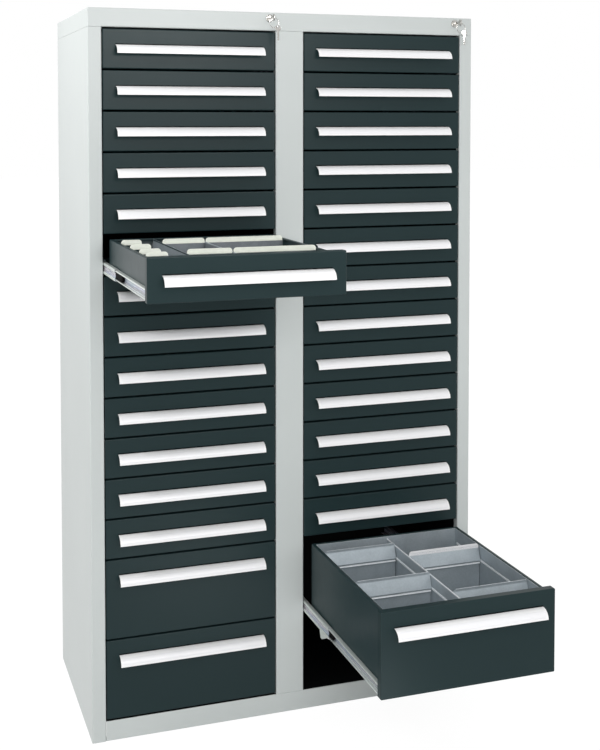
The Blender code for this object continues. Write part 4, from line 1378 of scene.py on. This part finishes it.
def lock(word):
    """Plug and key, and the ring with a spare key that hangs from the key's bow."""
    body = f"lock_plug_{word}"
    x, z = lock_place(word)

    def put(mesh, place, *nodes):
        piece(mesh.name, mesh, body, place, nodes)

    put(plug_mesh(f"cylinder_{word}", (x, z)), (0, 0, 0), body)
    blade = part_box(f"lock_key_{word}")[1].y - FRONT + KEY_REACH - KEY_BOW_RADIUS
    mesh = stamped(f"key_{word}", key_outlines(blade, False), KEY_SHEET, KEY_EDGE, CHROME)
    mesh.transform(KEY_IN_LOCK)
    put(mesh, (x, FRONT - KEY_REACH, z), f"lock_key_{word}")
    hang = RING_RADIUS + KEY_HOLE_RADIUS - RING_WIRE
    centre = Vector((x, FRONT - KEY_REACH - KEY_HOLE_OFFSET, z - hang))
    put(ring_mesh(f"key_ring_{word}"), centre)
    mesh = stamped(f"spare_key_{word}", key_outlines(SPARE_BLADE, True), KEY_SHEET, KEY_EDGE, CHROME)
    mesh.transform(Matrix.Translation((KEY_HOLE_OFFSET, 0, 0)))
    mesh.transform(Matrix.Scale(SPARE_SCALE, 4))
    mesh.transform(KEY_HANGING)
    mesh.transform(Matrix.Rotation(math.radians(SPARE_TURNS_DEG[word]), 4, "Z"))
    slip = math.radians(SPARE_SLIP_DEG)
    put(mesh, centre + hang * Vector((math.sin(slip), 0, -math.cos(slip))))


# Camera, light and floor


def camera():
    data = bpy.data.cameras.new("camera")
    data.sensor_fit = "HORIZONTAL"
    data.sensor_width = SENSOR_WIDTH
    data.lens = FOCAL_PIXELS / PHOTO_WIDTH * SENSOR_WIDTH
    data.shift_y = (PRINCIPAL_ROW - PHOTO_HEIGHT / 2) / PHOTO_WIDTH
    data.clip_end = CAMERA_RANGE
    obj = placed("camera", data, CAMERA_PLACE)
    obj.rotation_euler = (math.pi / 2 - CAMERA_PITCH, 0, -CAMERA_YAW)
    bpy.context.scene.camera = obj


def softbox(name, place, target, width, height, power, unseen):
    data = bpy.data.lights.new(name, "AREA")
    data.shape = "RECTANGLE"
    data.size = width
    data.size_y = height
    data.energy = power
    obj = placed(name, data, place)
    aim = Vector(target) - Vector(place)
    obj.rotation_euler = aim.to_track_quat("-Z", "Y").to_euler()
    obj.visible_camera = False
    if unseen:
        setattr(obj, unseen, False)


def background_seen(tree):
    """1 for rays from the camera, a mirror or a glass, and 0 for light on the object."""
    path = tree.nodes.new("ShaderNodeLightPath")
    total = path.outputs["Is Camera Ray"]
    for name in ("Is Glossy Ray", "Is Transmission Ray"):
        larger = tree.nodes.new("ShaderNodeMath")
        larger.operation = "MAXIMUM"
        tree.links.new(total, larger.inputs[0])
        tree.links.new(path.outputs[name], larger.inputs[1])
        total = larger.outputs[0]
    return total


def white(node, strength):
    """The shader node, set to white light of a strength."""
    node.inputs["Color"].default_value = (1, 1, 1, 1)
    node.inputs["Strength"].default_value = strength
    return node


def mix_in(tree, share, lit, shown, output):
    """The output takes lit, and by that share shown, which the camera sees."""
    mix = tree.nodes.new("ShaderNodeMixShader")
    tree.links.new(share, mix.inputs["Fac"])
    tree.links.new(lit.outputs[0], mix.inputs[1])
    tree.links.new(shown.outputs[0], mix.inputs[2])
    tree.links.new(mix.outputs[0], tree.nodes[output].inputs["Surface"])


def world():
    sky = bpy.data.worlds.new("studio")
    sky.use_nodes = True
    tree = sky.node_tree
    lit = white(tree.nodes["Background"], AMBIENT)
    shown = white(tree.nodes.new("ShaderNodeBackground"), 1)
    mix_in(tree, background_seen(tree), lit, shown, "World Output")
    bpy.context.scene.world = sky


def floor():
    material = bpy.data.materials.new("floor")
    material.use_nodes = True
    tree = material.node_tree
    shader = tree.nodes["Principled BSDF"]
    shader.inputs["Base Color"].default_value = (FLOOR_GREY, FLOOR_GREY, FLOOR_GREY, 1)
    shader.inputs["Roughness"].default_value = FLOOR_ROUGHNESS
    glow = white(tree.nodes.new("ShaderNodeEmission"), FLOOR_GLOW)
    share = tree.nodes.new("ShaderNodeMath")
    share.operation = "MULTIPLY"
    share.inputs[1].default_value = FLOOR_GLOW_SHARE
    tree.links.new(background_seen(tree), share.inputs[0])
    mix_in(tree, share.outputs[0], shader, glow, "Material Output")
    bm = bmesh.new()
    bmesh.ops.create_grid(bm, x_segments=1, y_segments=1, size=FLOOR_HALF)
    mesh = bpy.data.meshes.new("floor")
    bm.to_mesh(mesh)
    bm.free()
    mesh.materials.append(material)
    placed("floor", mesh, (0, 0, -FIT))


def dress_kept_nodes():
    """Give the frame's own pieces that stay in view their finish."""
    for word in ("left", "right"):
        for slot in frame["nodes"][f"lock_bar_{word}"].material_slots:
            slot.material = ZINC


def main():
    camera()
    world()
    for lamp in LAMPS:
        softbox(*lamp)
    floor()
    side_skin("left", -1)
    side_skin("right", 1)
    post_skin()
    base_skin()
    cover_skin()
    back_skin()
    runner_frames()
    build_drawers()
    lock("left")
    lock("right")
    dress_kept_nodes()
    bpy.context.scene.view_settings.view_transform = "Standard"


main()
